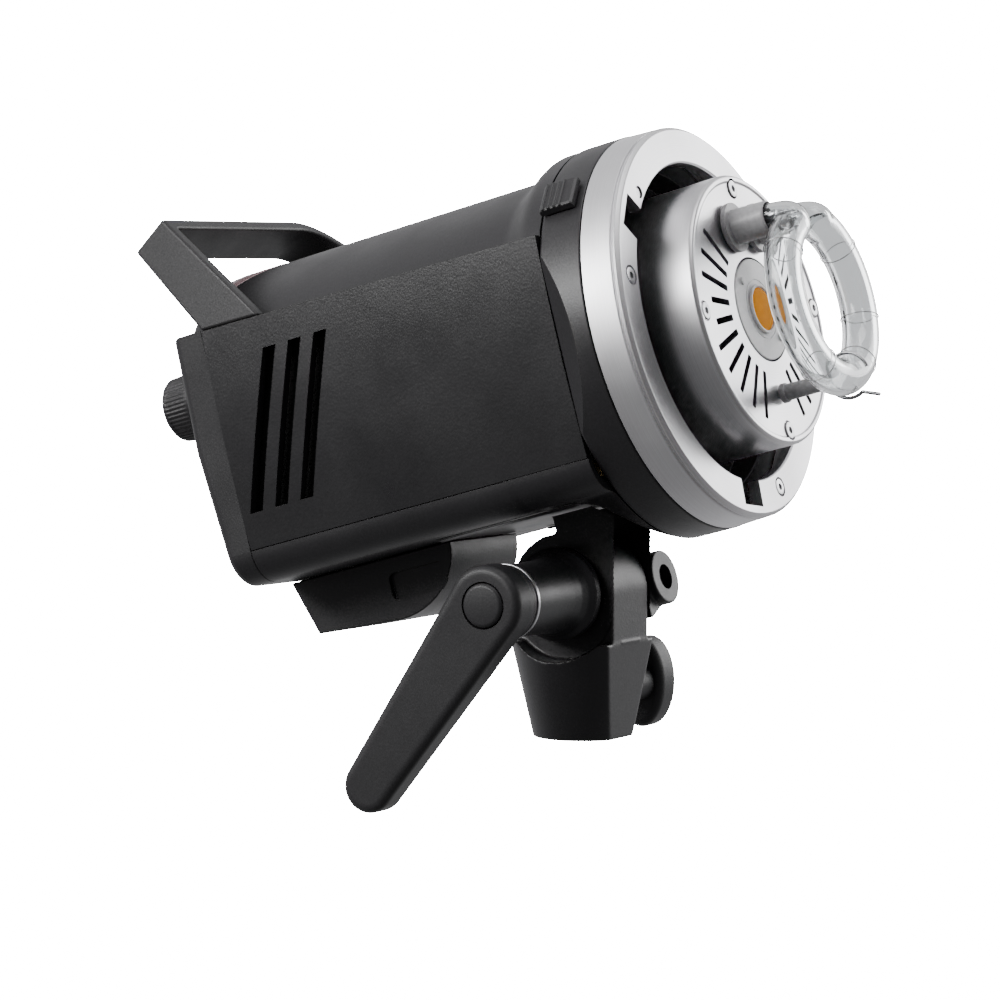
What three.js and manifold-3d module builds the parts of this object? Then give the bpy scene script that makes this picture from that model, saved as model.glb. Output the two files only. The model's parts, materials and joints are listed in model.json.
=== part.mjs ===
// Monolight studio strobe: a flash head that tilts on a bracket for a light stand.
// Millimetres. +Z is up, +X is where the head points, and -Y is its right-hand side.
// The origin is the centre of the mouth of the bracket's stand socket.
import * as THREE from "three";
import { mergeVertices } from "three/addons/utils/BufferGeometryUtils.js";
import Module from "manifold-3d";

const wasm = await Module();
wasm.setup();

// ---- Driving dimensions ----
const GAP = 0.3; // left between pieces that touch
const FINE = 48; // sides of the big round pieces
const MEDIUM = 20; // sides of knobs and bosses
const COARSE = 10; // sides of screws and pins
const SMOOTH = 5; // pairs of steps in a large arc of an outline
const CRISP = 2; // pairs of steps in a small corner
const WELD = 1e-4; // vertices closer than this are one vertex
const BEYOND = 80; // past the whole head, for a cut that goes right through

const AXIS_HEIGHT = 46.5; // tilt axis above the socket's mouth
const REST_TILT = 15; // degrees nose-up
const OPTICS = { x: 69, z: 70.4 }; // centre of the mounting ring's front face from the tilt axis

// Sizes below the optics line are in the head's own frame: X = 0 at the mounting ring's front face,
// with the optical axis at Y = Z = 0.
const RING = { outer: 62.5, opening: 50.75, cavity: 59.3, plate: 4, depth: 12.7, lip: 0.6 };
const NOTCH = { width: 12, reach: 59, angles: [37, 157, -83] };
const RING_SCREW = {
  radius: 55.5, head: 2.6, shank: 1.3, hole: 1.6, height: 1.1, end: -18, angles: [15.5, 135.5, -104.5],
};
const COLLAR = {
  outer: 63.3, bore: 51.6, front: -13, flange: -22, rear: -27.3, flangeBore: 46, edge: 0.8, flatY: 56.3,
  flatSlope: 39,
};
const BODY = {
  front: -27.6, rear: -152.4, dome: 57.7, ledge: 35, half: 55, bottom: -45.5, corner: 10.5, wall: 2.6,
};
const PANEL = { thickness: 2.3, crown: 1.2, top: 34.7, front: -27.9, rear: -152.4 };
const FLARE = {
  edge: 63, top: [[-33, 62.9], [-36, 62.2], [-38.5, 60.8], [-41, 59]], topEnd: -44,
  chin: [[-34, 58], [-44, 51]], chinEnd: -56,
};
const VENT = { count: 3, width: 4.9, pitch: 9.7, topX: -130.9, bottomX: -149.2, topZ: 26, bottomZ: -23.5 };
const COVER = { front: -152.7, edge: -164.6, crown: 3, crownRadius: 62, wall: 2.4, depth: 15 };
const SENSOR = { front: -146, rear: -159.5, halfAngle: 23, thickness: 2, play: 0.4 };
const DRUM = { radius: 43, face: 14.4, rear: -27.2, wall: 1.3, edge: 1.2 };
const FACE_SCREW = { radius: 38.5, head: 2.7, shank: 1.3, hole: 1.6, height: 1, end: 2, count: 4 };
const SLOT = {
  width: 2, inner: 21, outer: 36.8, shortOuter: 32.7, both: [6.2, 18.6, 31, 43.4], low: [55.8, 68.2],
};
const LED = { plate: 16.2, chip: 6.8, height: 0.6 };
const TUBE = { ring: 25, radius: 5.8, bore: 4.3, plane: 35, centreZ: -2, halfGap: 22, bends: 16, steps: 24 };
const LEG = { y: 8, z: 25.6, radius: 4.4, bore: 3, root: 16.5 };
const SOCKET = { bezel: 7.8, sleeve: 5.3, bezelDepth: 1.6, sleeveEnd: 28, root: 6, wire: 2 };
const ELECTRODE = { radius: 1.7, root: 10, tip: 31 };
const POST = { radius: 2.6, end: 28.9, pin: 1.5, root: 5 };
const CLIP = { y: 5.2, radius: 7.3, wire: 0.6, start: 10, turn: 290, bends: 8, tail: [9, -8.2] };
const HANDLE = {
  footRear: [-154.2, 35.3], footFront: [-131.8, 35.3], topFront: [-161.5, 76.5], topRear: [-174.4, 68.7],
  outer: 52.2, thickness: 4.6,
};
const SLIDER = {
  angle: 44, front: -15.2, rear: -26.8, width: 11.4, base: 63.7, top: 66.2, ribs: 4, ribPitch: 2,
  ribHeight: 0.6, tab: [-21, -18],
};
const LOCK_PIN = { angle: 49, radius: 1.6, place: 54, tab: 4.9, foot: 53, top: 56.9, tip: -0.5 };
const DIAL = {
  y: -36, z: 17, radius: 11, depth: 12, edge: [[1.5, 0.7], [0, 2.2]], spindle: 3, spindleEnd: -155,
};
const BUTTON = {
  width: 9, height: 5, corner: 1.4, z: 1, rise: 3.6, root: 4, stem: 1.5, stemEnd: -153.4,
  places: { mode: 25, group: 12.5, lamp: 0, test: -12.5 },
};
const WINDOW = { width: 44, height: 20, corner: 2, y: 8, z: 21, thickness: 1.6 };
const BOARD = { front: -150, rear: -151.6, half: 42, bottom: -38, top: 32 };
const DISPLAY = { width: 38, height: 16, face: 0.8 }; // face is counted inwards from the cover's edge
const SYNC_JACK = { place: [32, -26], radius: 3.3, bore: 1.8, face: -2.4, depth: 6 };
const USB_SOCKET = { place: [12, -26], width: 9, height: 3.4, corner: 0.8, wall: 0.7, face: -2.2, depth: 6 };
const ROCKER = {
  width: 13, height: 19, y: -30, z: -26, tilt: 7, face: -1.2, ends: [-2.6, 2.5], middle: -1.4,
  play: [0.8, 1.6],
};
const INLET_BOX = {
  half: 22, wall: 1.6, top: -45.8, rearTop: [-161.2, -46.4], rearBottom: [-155.3, -64],
  frontBottom: [-110, -66.2],
  nose: [-100, -55],
};
const GRIP = { x: [-125, -104], z: [-60, -51], depth: 1.4 };
const INLET = {
  half: 13.4, top: -47.7, bottom: -61.9, cavityHalf: 11.8, front: -136, floor: -141, wall: 1.5,
};
const INLET_PIN = { pitch: 6, half: 1, rear: -153, z: [-57, -53] };
const FAN = {
  size: 60, depth: 15, front: -60, hub: 12, blade: 26, blades: 7, chord: 9, sheet: 1.2, pitch: 32,
  spoke: 1.5,
};
const CAPACITOR = { radius: 16, front: -88, rear: -144, y: 19, z: -24 };
const MAIN_BOARD = { x: [-146, -58], half: 40, z: [-42.4, -40.8] };
const COIL = { x: [-54, -38], y: [-34, -18], z: [-39, -22] };
const CHASSIS = { radius: 42.3, x: [-30.6, -27.5], boss: 3, bossEnd: 1.6, airHole: 13, wireHole: 3 };
const HEAT_SINK = { radius: 15.5, x: [9, 12.9], fins: 5, pitch: 5.5, fin: 0.8, finHalf: 12, finRear: -26 };

// Sizes in the tilt frame: the origin is on the tilt axis.
const EAR = {
  inner: 12.6, outer: 18.6, radius: 17.8, centre: [-0.8, -2.9], sweep: 20.9, topZ: 24.6, flare: 40,
  neckZ: 16.2, web: 2,
};
const SWING = { front: 61, rear: 46, steps: 6 }; // degrees that the tongue turns each way between the ears
const BOSS = { radius: 11.5, end: -49.5 };
const BOLT = { radius: 4, clearance: 4.3, head: 7.5, headDepth: 3.4 };
const LEVER = {
  hub: 12.3, inner: -51.5, outer: -66, armInner: -53.5, armOuter: -64.5, reach: 80, endRadius: 8.4,
  angle: 35.7,
};
const LEVER_BORE = { nut: 6.3, well: 7.3, floor: -56.5 };
const LEVER_CAP = { radius: 6.8, y: [-65.8, -62] };
const CLAMP_NUT = { radius: 6, y: [-56.2, -51.5], stud: 3.4, studEnd: -61.7, threadEnd: -54.4 };
const WASHER = { radius: 11.9, outer: -51.2 };
const UMBRELLA = {
  y: 29, z: -1, radius: 8.8, bore: 4.1, front: 15, rear: -12, foot: [-9, 12], footBottom: -13,
};
const UMBRELLA_LOCK = {
  x: 1.5, hole: 3, pad: [4.4, 5.6], screw: 2.4, shank: [5.9, 10.2], knob: 5.2, head: [9.6, 15],
};
const FRICTION_RADIUS = 13;

// Sizes in the bracket's own frame.
const TONGUE = { half: 12, radius: 17, recess: 13.3, recessDepth: 1.5 };
const STAND_SOCKET = { bore: 8.1, depth: 32, mouth: 15.8, shoulder: 23, shoulderZ: 31, flat: [13.8, 17.2] };
const STAND_LOCK = {
  z: 13.5, neck: 6, neckStart: 22.5, halfX: 8.6, halfZ: 14.8, wingInner: 38.4, wingOuter: 50,
  screw: 3, screwTip: 11.3, pad: 2.9, padY: [8.6, 11],
};

// ---- Materials: colour, roughness, metalness ----
const surface = (color, roughness, metalness) => ({ color, roughness, metalness });
const BLACK_PLASTIC = surface(0x303034, 0.62, 0);
const DARK_GREY_PLASTIC = surface(0x3a3a3e, 0.5, 0);
const SATIN_METAL = surface(0xc9c9cc, 0.32, 1);
const STEEL = surface(0xa8a8ac, 0.3, 1);
const BRASS = surface(0xb08d4a, 0.35, 1);
const CLEAR_GLASS = surface(0xf2f6f6, 0.05, 0);
const DARK_GLASS = surface(0x14161a, 0.1, 0);
const RED_LENS = surface(0x8a2430, 0.2, 0);
const CERAMIC = surface(0xc4c2be, 0.6, 0);
const WHITE_BOARD = surface(0xf0f0ee, 0.5, 0);
const AMBER = surface(0xf5b43a, 0.4, 0);
const CIRCUIT_BOARD = surface(0x1f5a3a, 0.5, 0);
const FRICTION_PAD = surface(0x4a3f36, 0.9, 0);
const CAPACITOR_SLEEVE = surface(0x22345a, 0.4, 0);
const SOFT_KEY = surface(0x55555a, 0.8, 0);

// ---- Solids ----
const radians = THREE.MathUtils.degToRad;

function solidOf(geometry) {
  const plain = geometry.clone();
  plain.deleteAttribute("normal");
  plain.deleteAttribute("uv");
  const merged = mergeVertices(plain, WELD);
  const vertProperties = merged.attributes.position.array;
  const triVerts = new Uint32Array(merged.index.array);
  const made = new wasm.Manifold(new wasm.Mesh({ numProp: 3, vertProperties, triVerts }));
  if (made.volume() > 0) return made;
  triVerts.reverse();
  return new wasm.Manifold(new wasm.Mesh({ numProp: 3, vertProperties, triVerts }));
}

function geometryOf(solid) {
  const { vertProperties, triVerts } = solid.getMesh();
  const geometry = new THREE.BufferGeometry();
  geometry.setAttribute("position", new THREE.BufferAttribute(vertProperties, 3));
  geometry.setIndex(new THREE.BufferAttribute(triVerts, 1));
  return geometry.toNonIndexed();
}

function piece(name, solid, material) {
  const geometry = geometryOf(solid);
  geometry.computeVertexNormals();
  const mesh = new THREE.Mesh(geometry, new THREE.MeshStandardMaterial(material));
  mesh.name = name;
  return mesh;
}

const join = (...solids) => solids.reduce((whole, next) => whole.add(next));
const cut = (solid, ...tools) => tools.reduce((rest, tool) => rest.subtract(tool), solid);

function block([x0, x1], [y0, y1], [z0, z1]) {
  const geometry = new THREE.BoxGeometry(x1 - x0, y1 - y0, z1 - z0);
  return solidOf(geometry.translate((x0 + x1) / 2, (y0 + y1) / 2, (z0 + z1) / 2));
}

// A closed profile of [distance along X, radius] points turned about the X axis.
function turned(profile, sides = FINE) {
  const points = profile.map(([x, radius]) => new THREE.Vector2(radius, -x));
  return solidOf(new THREE.LatheGeometry([...points, points[0]], sides).rotateZ(Math.PI / 2));
}

function rodX(radius, [x0, x1], [y, z] = [0, 0], sides = MEDIUM) {
  const geometry = new THREE.CylinderGeometry(radius, radius, x1 - x0, sides).rotateZ(Math.PI / 2);
  return solidOf(geometry.translate((x0 + x1) / 2, y, z));
}

function rodY(radius, [y0, y1], [x, z] = [0, 0], sides = MEDIUM) {
  const geometry = new THREE.CylinderGeometry(radius, radius, y1 - y0, sides);
  return solidOf(geometry.translate(x, (y0 + y1) / 2, z));
}

function coneZ(bottomRadius, topRadius, [z0, z1], sides = MEDIUM) {
  const geometry = new THREE.CylinderGeometry(topRadius, bottomRadius, z1 - z0, sides).rotateX(Math.PI / 2);
  return solidOf(geometry.translate(0, 0, (z0 + z1) / 2));
}

function extruded(shape, depth, axes, curveSegments) {
  const geometry = new THREE.ExtrudeGeometry(shape, { depth, bevelEnabled: false, curveSegments });
  return geometry.applyMatrix4(new THREE.Matrix4().makeBasis(...axes));
}

const X = new THREE.Vector3(1, 0, 0);
const Y = new THREE.Vector3(0, 1, 0);
const Z = new THREE.Vector3(0, 0, 1);

// A shape drawn in Y and Z, extruded along X.
const alongX = (shape, [x0, x1], smooth = CRISP) =>
  solidOf(extruded(shape, x1 - x0, [Y, Z, X], smooth).translate(x0, 0, 0));
// A shape drawn in X and Z, extruded along Y.
const alongY = (shape, [y0, y1], smooth = CRISP) =>
  solidOf(extruded(shape, y1 - y0, [X, Z, Y.clone().negate()], smooth).translate(0, y1, 0));

const polygon = (points) => new THREE.Shape(points.map(([a, b]) => new THREE.Vector2(a, b)));

function roundedRectangle(width, height, radius, [a, b] = [0, 0]) {
  const shape = new THREE.Shape();
  const corners = [[1, 1, 0], [-1, 1, 1], [-1, -1, 2], [1, -1, 3]];
  corners.forEach(([sideA, sideB, quarter]) => {
    const centre = [a + sideA * (width / 2 - radius), b + sideB * (height / 2 - radius)];
    shape.absarc(...centre, radius, (quarter * Math.PI) / 2, ((quarter + 1) * Math.PI) / 2, false);
  });
  return shape;
}

// Turns a solid about the optical axis, from the top to an angle counted upwards from the right side.
function turnedTo(solid, angle) {
  return solidOf(geometryOf(solid).rotateX(radians(90 - angle)));
}

function sweep(curve, radius, sides, steps) {
  const shape = new THREE.Shape().absarc(0, 0, radius, 0, 2 * Math.PI, false);
  const options = { steps, extrudePath: curve, curveSegments: sides, bevelEnabled: false };
  return solidOf(new THREE.ExtrudeGeometry(shape, options));
}

// ---- Head: casing ----
// The casing's outline across the optical axis: a domed top, flat ledges, and rounded lower corners.
function bodyOutline(inset, half) {
  const dome = BODY.dome - inset;
  const ledge = BODY.ledge - inset;
  const bottom = BODY.bottom + inset;
  const corner = BODY.corner - inset;
  const start = Math.asin(ledge / dome);
  const shape = new THREE.Shape();
  shape.moveTo(half, ledge);
  shape.absarc(0, 0, dome, start, Math.PI - start, false);
  shape.lineTo(-half, ledge);
  shape.absarc(-half + corner, bottom + corner, corner, Math.PI, 1.5 * Math.PI, false);
  shape.absarc(half - corner, bottom + corner, corner, 1.5 * Math.PI, 2 * Math.PI, false);
  return shape;
}

// Where the casing's dome opens out to meet the round collar.
function topFlare() {
  const { front, dome } = BODY;
  const profile = [[front, 0], [front, FLARE.edge], ...FLARE.top, [FLARE.topEnd, dome], [FLARE.topEnd, 0]];
  return turned(profile).intersect(block([-BEYOND, 0], [-BEYOND, BEYOND], [BODY.ledge - 1, BEYOND]));
}

// Where the casing's flat bottom drops to meet the round collar.
function chinFlare(grow = 0) {
  const { front, bottom } = BODY;
  const curve = [[front, FLARE.edge], ...FLARE.chin, [FLARE.chinEnd, -bottom]];
  const grown = curve.map(([x, radius]) => [x - grow, radius + grow]);
  const profile = [[front, 0], ...grown, [FLARE.chinEnd - grow, 0]];
  return turned(profile).intersect(block([-BEYOND, 0], [-BEYOND, BEYOND], [-BEYOND, -PANEL.top - GAP]));
}

function sensorRecess() {
  const { front, rear, halfAngle, thickness, play } = SENSOR;
  return sensorArc(thickness + GAP, [rear - GAP, front + GAP], halfAngle + play, 2);
}

// A curved plate lying in the dome: depth below the surface, and height above it.
function sensorArc(depth, range, halfAngle, height) {
  const [low, high] = [radians(90 - halfAngle), radians(90 + halfAngle)];
  const shape = new THREE.Shape();
  shape.absarc(0, 0, BODY.dome + height, low, high, false);
  shape.absarc(0, 0, BODY.dome - depth, high, low, true);
  return alongX(shape, range, SMOOTH);
}

function panelRecess(side) {
  const inner = BODY.half - PANEL.thickness - GAP;
  const across = side < 0 ? [-BEYOND, -inner] : [inner, BEYOND];
  return block([BODY.rear - 1, BODY.front + 1], across, [-PANEL.top - GAP, BEYOND]);
}

function ventWindow() {
  const { topX, bottomX, topZ, bottomZ, count, pitch } = VENT;
  const span = count * pitch;
  const [low, high] = [bottomZ - 2, topZ + 2];
  const outline = [[bottomX - 2, low], [bottomX + span, low], [topX + span, high], [topX - 2, high]];
  return alongY(polygon(outline), [-BEYOND, BEYOND]);
}

function mainHousing() {
  const outer = alongX(bodyOutline(0, BODY.half), [BODY.rear, BODY.front], SMOOTH);
  const innerHalf = BODY.half - PANEL.thickness - GAP - BODY.wall;
  const cavity = alongX(bodyOutline(BODY.wall, innerHalf), [BODY.rear - 1, BODY.front + 1], SMOOTH);
  const shell = cut(join(outer, topFlare(), chinFlare()), cavity, panelRecess(-1), panelRecess(1));
  return cut(shell, ventWindow(), sensorRecess());
}

// One vent slot, numbered from the rear.
function ventSlot(index) {
  const { width, pitch, topX, bottomX, topZ, bottomZ } = VENT;
  const shift = index * pitch;
  return alongY(
    polygon([
      [bottomX + shift, bottomZ], [bottomX + shift + width, bottomZ], [topX + shift + width, topZ],
      [topX + shift, topZ],
    ]),
    [-BEYOND, BEYOND],
  );
}

function sidePanel(side) {
  const { thickness, crown, top, front, rear } = PANEL;
  const inner = BODY.half - thickness;
  const bow = (crown ** 2 + top ** 2) / (2 * crown); // radius of the crowned outer face
  const reach = Math.asin(top / bow);
  const shape = new THREE.Shape();
  shape.absarc(BODY.half + crown - bow, 0, bow, -reach, reach, false);
  shape.lineTo(inner, top);
  shape.lineTo(inner, -top);
  const plate = alongX(shape, [rear, front], SMOOTH);
  const slots = Array.from({ length: VENT.count }, (_, index) => ventSlot(index));
  const made = cut(plate, ...slots);
  return side > 0 ? made : solidOf(geometryOf(made).rotateX(Math.PI).scale(1, 1, -1));
}

// The cover's rear face bows out by its crown.
function crownedBlank() {
  const { edge, crown, crownRadius } = COVER;
  const rings = [0, 0.4, 0.7, 1, 1.25, 1.5].map(
    (part) => [edge - crown * (1 - part ** 2), part * crownRadius],
  );
  return turned([[0, 0], ...rings, [0, 1.5 * crownRadius]], MEDIUM);
}

// A cut through the rear cover, drawn as a rounded rectangle in Y and Z.
function coverCut(width, height, corner, place) {
  return alongX(roundedRectangle(width, height, corner, place), [COVER.edge - COVER.depth, BOARD.front]);
}

function rearCover() {
  const { front, edge, wall, depth } = COVER;
  const blank = alongX(bodyOutline(0, BODY.half), [edge - depth, front], SMOOTH).intersect(crownedBlank());
  const hollow = alongX(bodyOutline(wall, BODY.half - wall), [edge + wall, 0], SMOOTH);
  const { y, z, width, height, corner } = WINDOW;
  const window = coverCut(width + 2 * GAP, height + 2 * GAP, corner, [y, z]);
  const keys = Object.values(BUTTON.places).map((place) =>
    coverCut(BUTTON.width + 2 * GAP, BUTTON.height + 2 * GAP, BUTTON.corner, [place, BUTTON.z]),
  );
  const rocker = coverCut(
    ROCKER.width + ROCKER.play[0], ROCKER.height + ROCKER.play[1], 1, [ROCKER.y, ROCKER.z],
  );
  const jack = rodX(SYNC_JACK.radius + GAP, [edge - depth, BOARD.front], SYNC_JACK.place);
  const usb = coverCut(USB_SOCKET.width + 2 * GAP, USB_SOCKET.height + 2 * GAP, 1, USB_SOCKET.place);
  const shaft = rodX(DIAL.spindle + 0.4, [edge - depth, BOARD.front], [DIAL.y, DIAL.z]);
  return cut(blank, hollow, window, ...keys, rocker, jack, usb, shaft, sensorRecess());
}

function displayWindow() {
  const { y, z, width, height, corner, thickness } = WINDOW;
  return alongX(roundedRectangle(width, height, corner, [y, z]), [COVER.edge - thickness, COVER.edge]);
}

// The board behind the rear cover, with the display, the sync jack and the USB socket soldered to it.
function controlBoard() {
  const board = block([BOARD.rear, BOARD.front], [-BOARD.half, BOARD.half], [BOARD.bottom, BOARD.top]);
  const root = BOARD.rear + 0.6;
  const screen = roundedRectangle(DISPLAY.width, DISPLAY.height, 1, [WINDOW.y, WINDOW.z]);
  const display = alongX(screen, [COVER.edge + DISPLAY.face, root]);
  const jackFace = COVER.edge + SYNC_JACK.face;
  const jack = rodX(SYNC_JACK.radius, [jackFace, root], SYNC_JACK.place);
  const jackBore = rodX(SYNC_JACK.bore, [jackFace - 1, jackFace + SYNC_JACK.depth], SYNC_JACK.place, COARSE);
  const { place, width, height, corner, wall, face, depth } = USB_SOCKET;
  const usbFace = COVER.edge + face;
  const usb = alongX(roundedRectangle(width, height, corner, place), [usbFace, root]);
  const mouth = roundedRectangle(width - 2 * wall, height - 2 * wall, corner / 2, place);
  return cut(join(board, display, jack, usb), jackBore, alongX(mouth, [usbFace - 1, usbFace + depth]));
}

function keyCap(place) {
  const { width, height, corner, z, rise, root, stem, stemEnd } = BUTTON;
  const cap = alongX(
    roundedRectangle(width, height, corner, [place, z]), [COVER.edge - rise, COVER.edge + root],
  );
  return join(
    cap, block([COVER.edge + root - 1, stemEnd], [place - stem, place + stem], [z - stem, z + stem]),
  );
}

function controlDial() {
  const front = COVER.edge - COVER.crown - GAP;
  const { radius, depth, edge, spindle, spindleEnd } = DIAL;
  const rim = edge.map(([step, inset]) => [front - depth + step, radius - inset]);
  const knob = turned([[front, 0], [front, radius], ...rim, [front - depth, 0]], MEDIUM);
  return solidOf(geometryOf(join(knob, rodX(spindle, [front - 1, spindleEnd]))).translate(0, DIAL.y, DIAL.z));
}

// The rocker leans one way at rest, so it is built in its own group and tilted there.
function powerRocker() {
  const { width, height, ends, middle } = ROCKER;
  const [rear, front] = ends;
  const face = polygon([
    [rear, -height / 2], [front, -height / 2], [front, height / 2], [rear, height / 2], [middle, 0],
  ]);
  return alongY(face, [-width / 2, width / 2]);
}

function handle() {
  const { footRear, footFront, topFront, topRear, outer, thickness } = HANDLE;
  const strap = alongY(polygon([footRear, footFront, topFront, topRear]), [-outer, outer]);
  const inner = outer - thickness;
  const lean = new THREE.Vector2(footFront[0] - topFront[0], footFront[1] - topFront[1]).setLength(thickness);
  const lowered = (point) => [point[0] + lean.x, point[1] + lean.y];
  const [front, rear] = [lowered(topFront), lowered(topRear)];
  const across = [front[0] - rear[0], front[1] - rear[1]];
  const opening = polygon([
    [rear[0] - across[0], rear[1] - across[1]], [-190, 20], [-100, 20],
    [front[0] + across[0], front[1] + across[1]],
  ]);
  return cut(strap, alongY(opening, [-inner, inner]));
}

// ---- Head: front ----
// A flat that slopes in along the collar's side to the side panel.
function collarFlat(side) {
  const { rear, flatY, flatSlope } = COLLAR;
  const wedge = geometryOf(block([-BEYOND / 2, BEYOND / 2], [0, BEYOND / 2], [-BEYOND, BEYOND]));
  return solidOf(wedge.rotateZ(radians(flatSlope)).translate(rear, flatY, 0).scale(1, side, 1));
}

function frontCollar() {
  const { outer, bore, front, flange, rear, flangeBore, edge } = COLLAR;
  const ring = turned([
    [front, bore], [front, outer], [rear + edge, outer], [rear, outer - edge], [rear, flangeBore],
    [flange, flangeBore],
    [flange, bore],
  ]);
  const pocketX = [rear + 1, -16];
  const sliderPocket = turnedTo(block(pocketX, [-3, 3], [bore - 4, outer + 6]), SLIDER.angle);
  const pinHalf = LOCK_PIN.tab + 2 * GAP;
  const pinPocket = turnedTo(
    block(pocketX, [-pinHalf, pinHalf], [bore - 4, LOCK_PIN.top + 2 * GAP]), LOCK_PIN.angle,
  );
  const guide = turnedTo(
    rodX(LOCK_PIN.radius + 0.4, [rear + 1, 0], [0, LOCK_PIN.place], COARSE), LOCK_PIN.angle,
  );
  const screwHoles = RING_SCREW.angles.map((angle) =>
    turnedTo(rodX(RING_SCREW.hole, [flange, 0], [0, RING_SCREW.radius], COARSE), angle),
  );
  return cut(ring, collarFlat(-1), collarFlat(1), sliderPocket, pinPocket, guide, ...screwHoles);
}

function bayonetRing() {
  const { outer, opening, cavity, plate, depth, lip } = RING;
  const ring = turned([
    [0, opening], [0, outer - 1], [-1, outer], [-depth, outer + lip], [-depth, cavity], [-plate, cavity],
    [-plate, opening],
  ], 60);
  const through = [-plate - 1, 1];
  const notch = block(through, [-NOTCH.width / 2, NOTCH.width / 2], [opening - 3, NOTCH.reach]);
  const notches = NOTCH.angles.map((angle) => turnedTo(notch, angle));
  const hole = rodX(RING_SCREW.hole, through, [0, RING_SCREW.radius], COARSE);
  const holes = RING_SCREW.angles.map((angle) => turnedTo(hole, angle));
  const pinHole = turnedTo(rodX(LOCK_PIN.radius + 0.4, through, [0, LOCK_PIN.place], COARSE), LOCK_PIN.angle);
  return cut(ring, ...notches, ...holes, pinHole);
}

function ringScrew(angle) {
  const { head, shank, height, end } = RING_SCREW;
  const place = [0, RING_SCREW.radius];
  const cap = rodX(head, [GAP, GAP + height], place, COARSE);
  return turnedTo(join(cap, rodX(shank, [end, GAP + height / 2], place, COARSE)), angle);
}

function releaseSlider() {
  const { angle, front, rear, width, base, top, ribs, ribPitch, ribHeight, tab } = SLIDER;
  const thumb = block([rear, front], [-width / 2, width / 2], [base, top]);
  const grips = Array.from({ length: ribs }, (_, rib) => {
    const start = rear + 1 + ribPitch * rib;
    return block([start, start + ribPitch / 2], [-width / 2 + 1, width / 2 - 1], [base, top + ribHeight]);
  });
  const foot = block(tab, [-2.4, 2.4], [LOCK_PIN.top + GAP, base + 1]);
  return turnedTo(join(thumb, ...grips, foot), angle);
}

function lockPin() {
  const { angle, radius, place, tab, foot, top, tip } = LOCK_PIN;
  const pin = rodX(radius, [SLIDER.tab[0], tip], [0, place], COARSE);
  return turnedTo(join(pin, block(SLIDER.tab, [-tab, tab], [foot, top])), angle);
}

// One radial cooling slot, at an elevation counted from the horizontal on either side.
function drumSlot(side, elevation, reach) {
  const bar = block([0, 40], [-SLOT.width / 2, SLOT.width / 2], [SLOT.inner, reach]);
  return turnedTo(bar, side < 0 ? elevation : 180 - elevation);
}

function drumSlots() {
  const elevations = [...SLOT.both, ...SLOT.both.map((angle) => -angle), ...SLOT.low.map((angle) => -angle)];
  return [-1, 1].flatMap((side) =>
    elevations.map((angle) => drumSlot(side, angle, Math.abs(angle) < 10 ? SLOT.shortOuter : SLOT.outer)),
  );
}

const fourTimes = (make) => Array.from({ length: FACE_SCREW.count }, (_, index) => make(90 * index));

function lampDrum() {
  const { radius, face, rear, wall, edge } = DRUM;
  const cup = turned([
    [face, LED.plate + GAP], [face, radius - edge], [face - edge * 0.3, radius - edge * 0.3],
    [face - edge, radius],
    [rear, radius], [rear, radius - wall], [face - wall, radius - wall], [face - wall, LED.plate + GAP],
  ]);
  const legHoles = [-1, 1].map((side) =>
    rodX(SOCKET.sleeve + GAP, [0, face + 1], [side * LEG.y, LEG.z], MEDIUM),
  );
  const hole = rodX(FACE_SCREW.hole, [0, face + 1], [0, FACE_SCREW.radius], COARSE);
  const holes = fourTimes((turn) => turnedTo(hole, turn));
  const postHole = rodX(POST.pin + GAP, [0, face + 1], [0, TUBE.centreZ - TUBE.ring], COARSE);
  return cut(cup, ...drumSlots(), ...legHoles, ...holes, postHole);
}

function faceScrew(turn) {
  const { head, shank, height, end } = FACE_SCREW;
  const place = [0, FACE_SCREW.radius];
  const cap = rodX(head, [DRUM.face + GAP, DRUM.face + GAP + height], place, COARSE);
  return turnedTo(join(cap, rodX(shank, [end, DRUM.face + GAP + height / 2], place, COARSE)), turn);
}

// The inner frame that the drum, the lamp and the tube sockets are fixed to.
function lampChassis() {
  const { radius, x, boss, bossEnd, airHole, wireHole } = CHASSIS;
  const through = [x[0] - 1, x[1] + 1];
  const post = rodX(boss, [x[0] + 1, bossEnd], [0, FACE_SCREW.radius - GAP], COARSE);
  const wires = [-1, 1].map((side) => rodX(wireHole, through, [side * LEG.y, LEG.z], COARSE));
  return cut(
    join(rodX(radius, x, [0, 0], FINE), ...fourTimes((turn) => turnedTo(post, turn))),
    rodX(airHole, through), ...wires,
  );
}

function ledHeatSink() {
  const { radius, x, fins, pitch, fin, finHalf, finRear } = HEAT_SINK;
  const blades = Array.from({ length: fins }, (_, index) => {
    const y = (index - (fins - 1) / 2) * pitch;
    return block([finRear, x[0] + 1], [y - fin, y + fin], [-finHalf, finHalf]);
  });
  return join(rodX(radius, x), ...blades);
}

const ledPlate = () => rodX(LED.plate, [DRUM.face - DRUM.wall, DRUM.face], [0, 0], 40);
const ledChip = () => rodX(LED.chip, [DRUM.face + GAP, DRUM.face + GAP + LED.height]);

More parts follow.
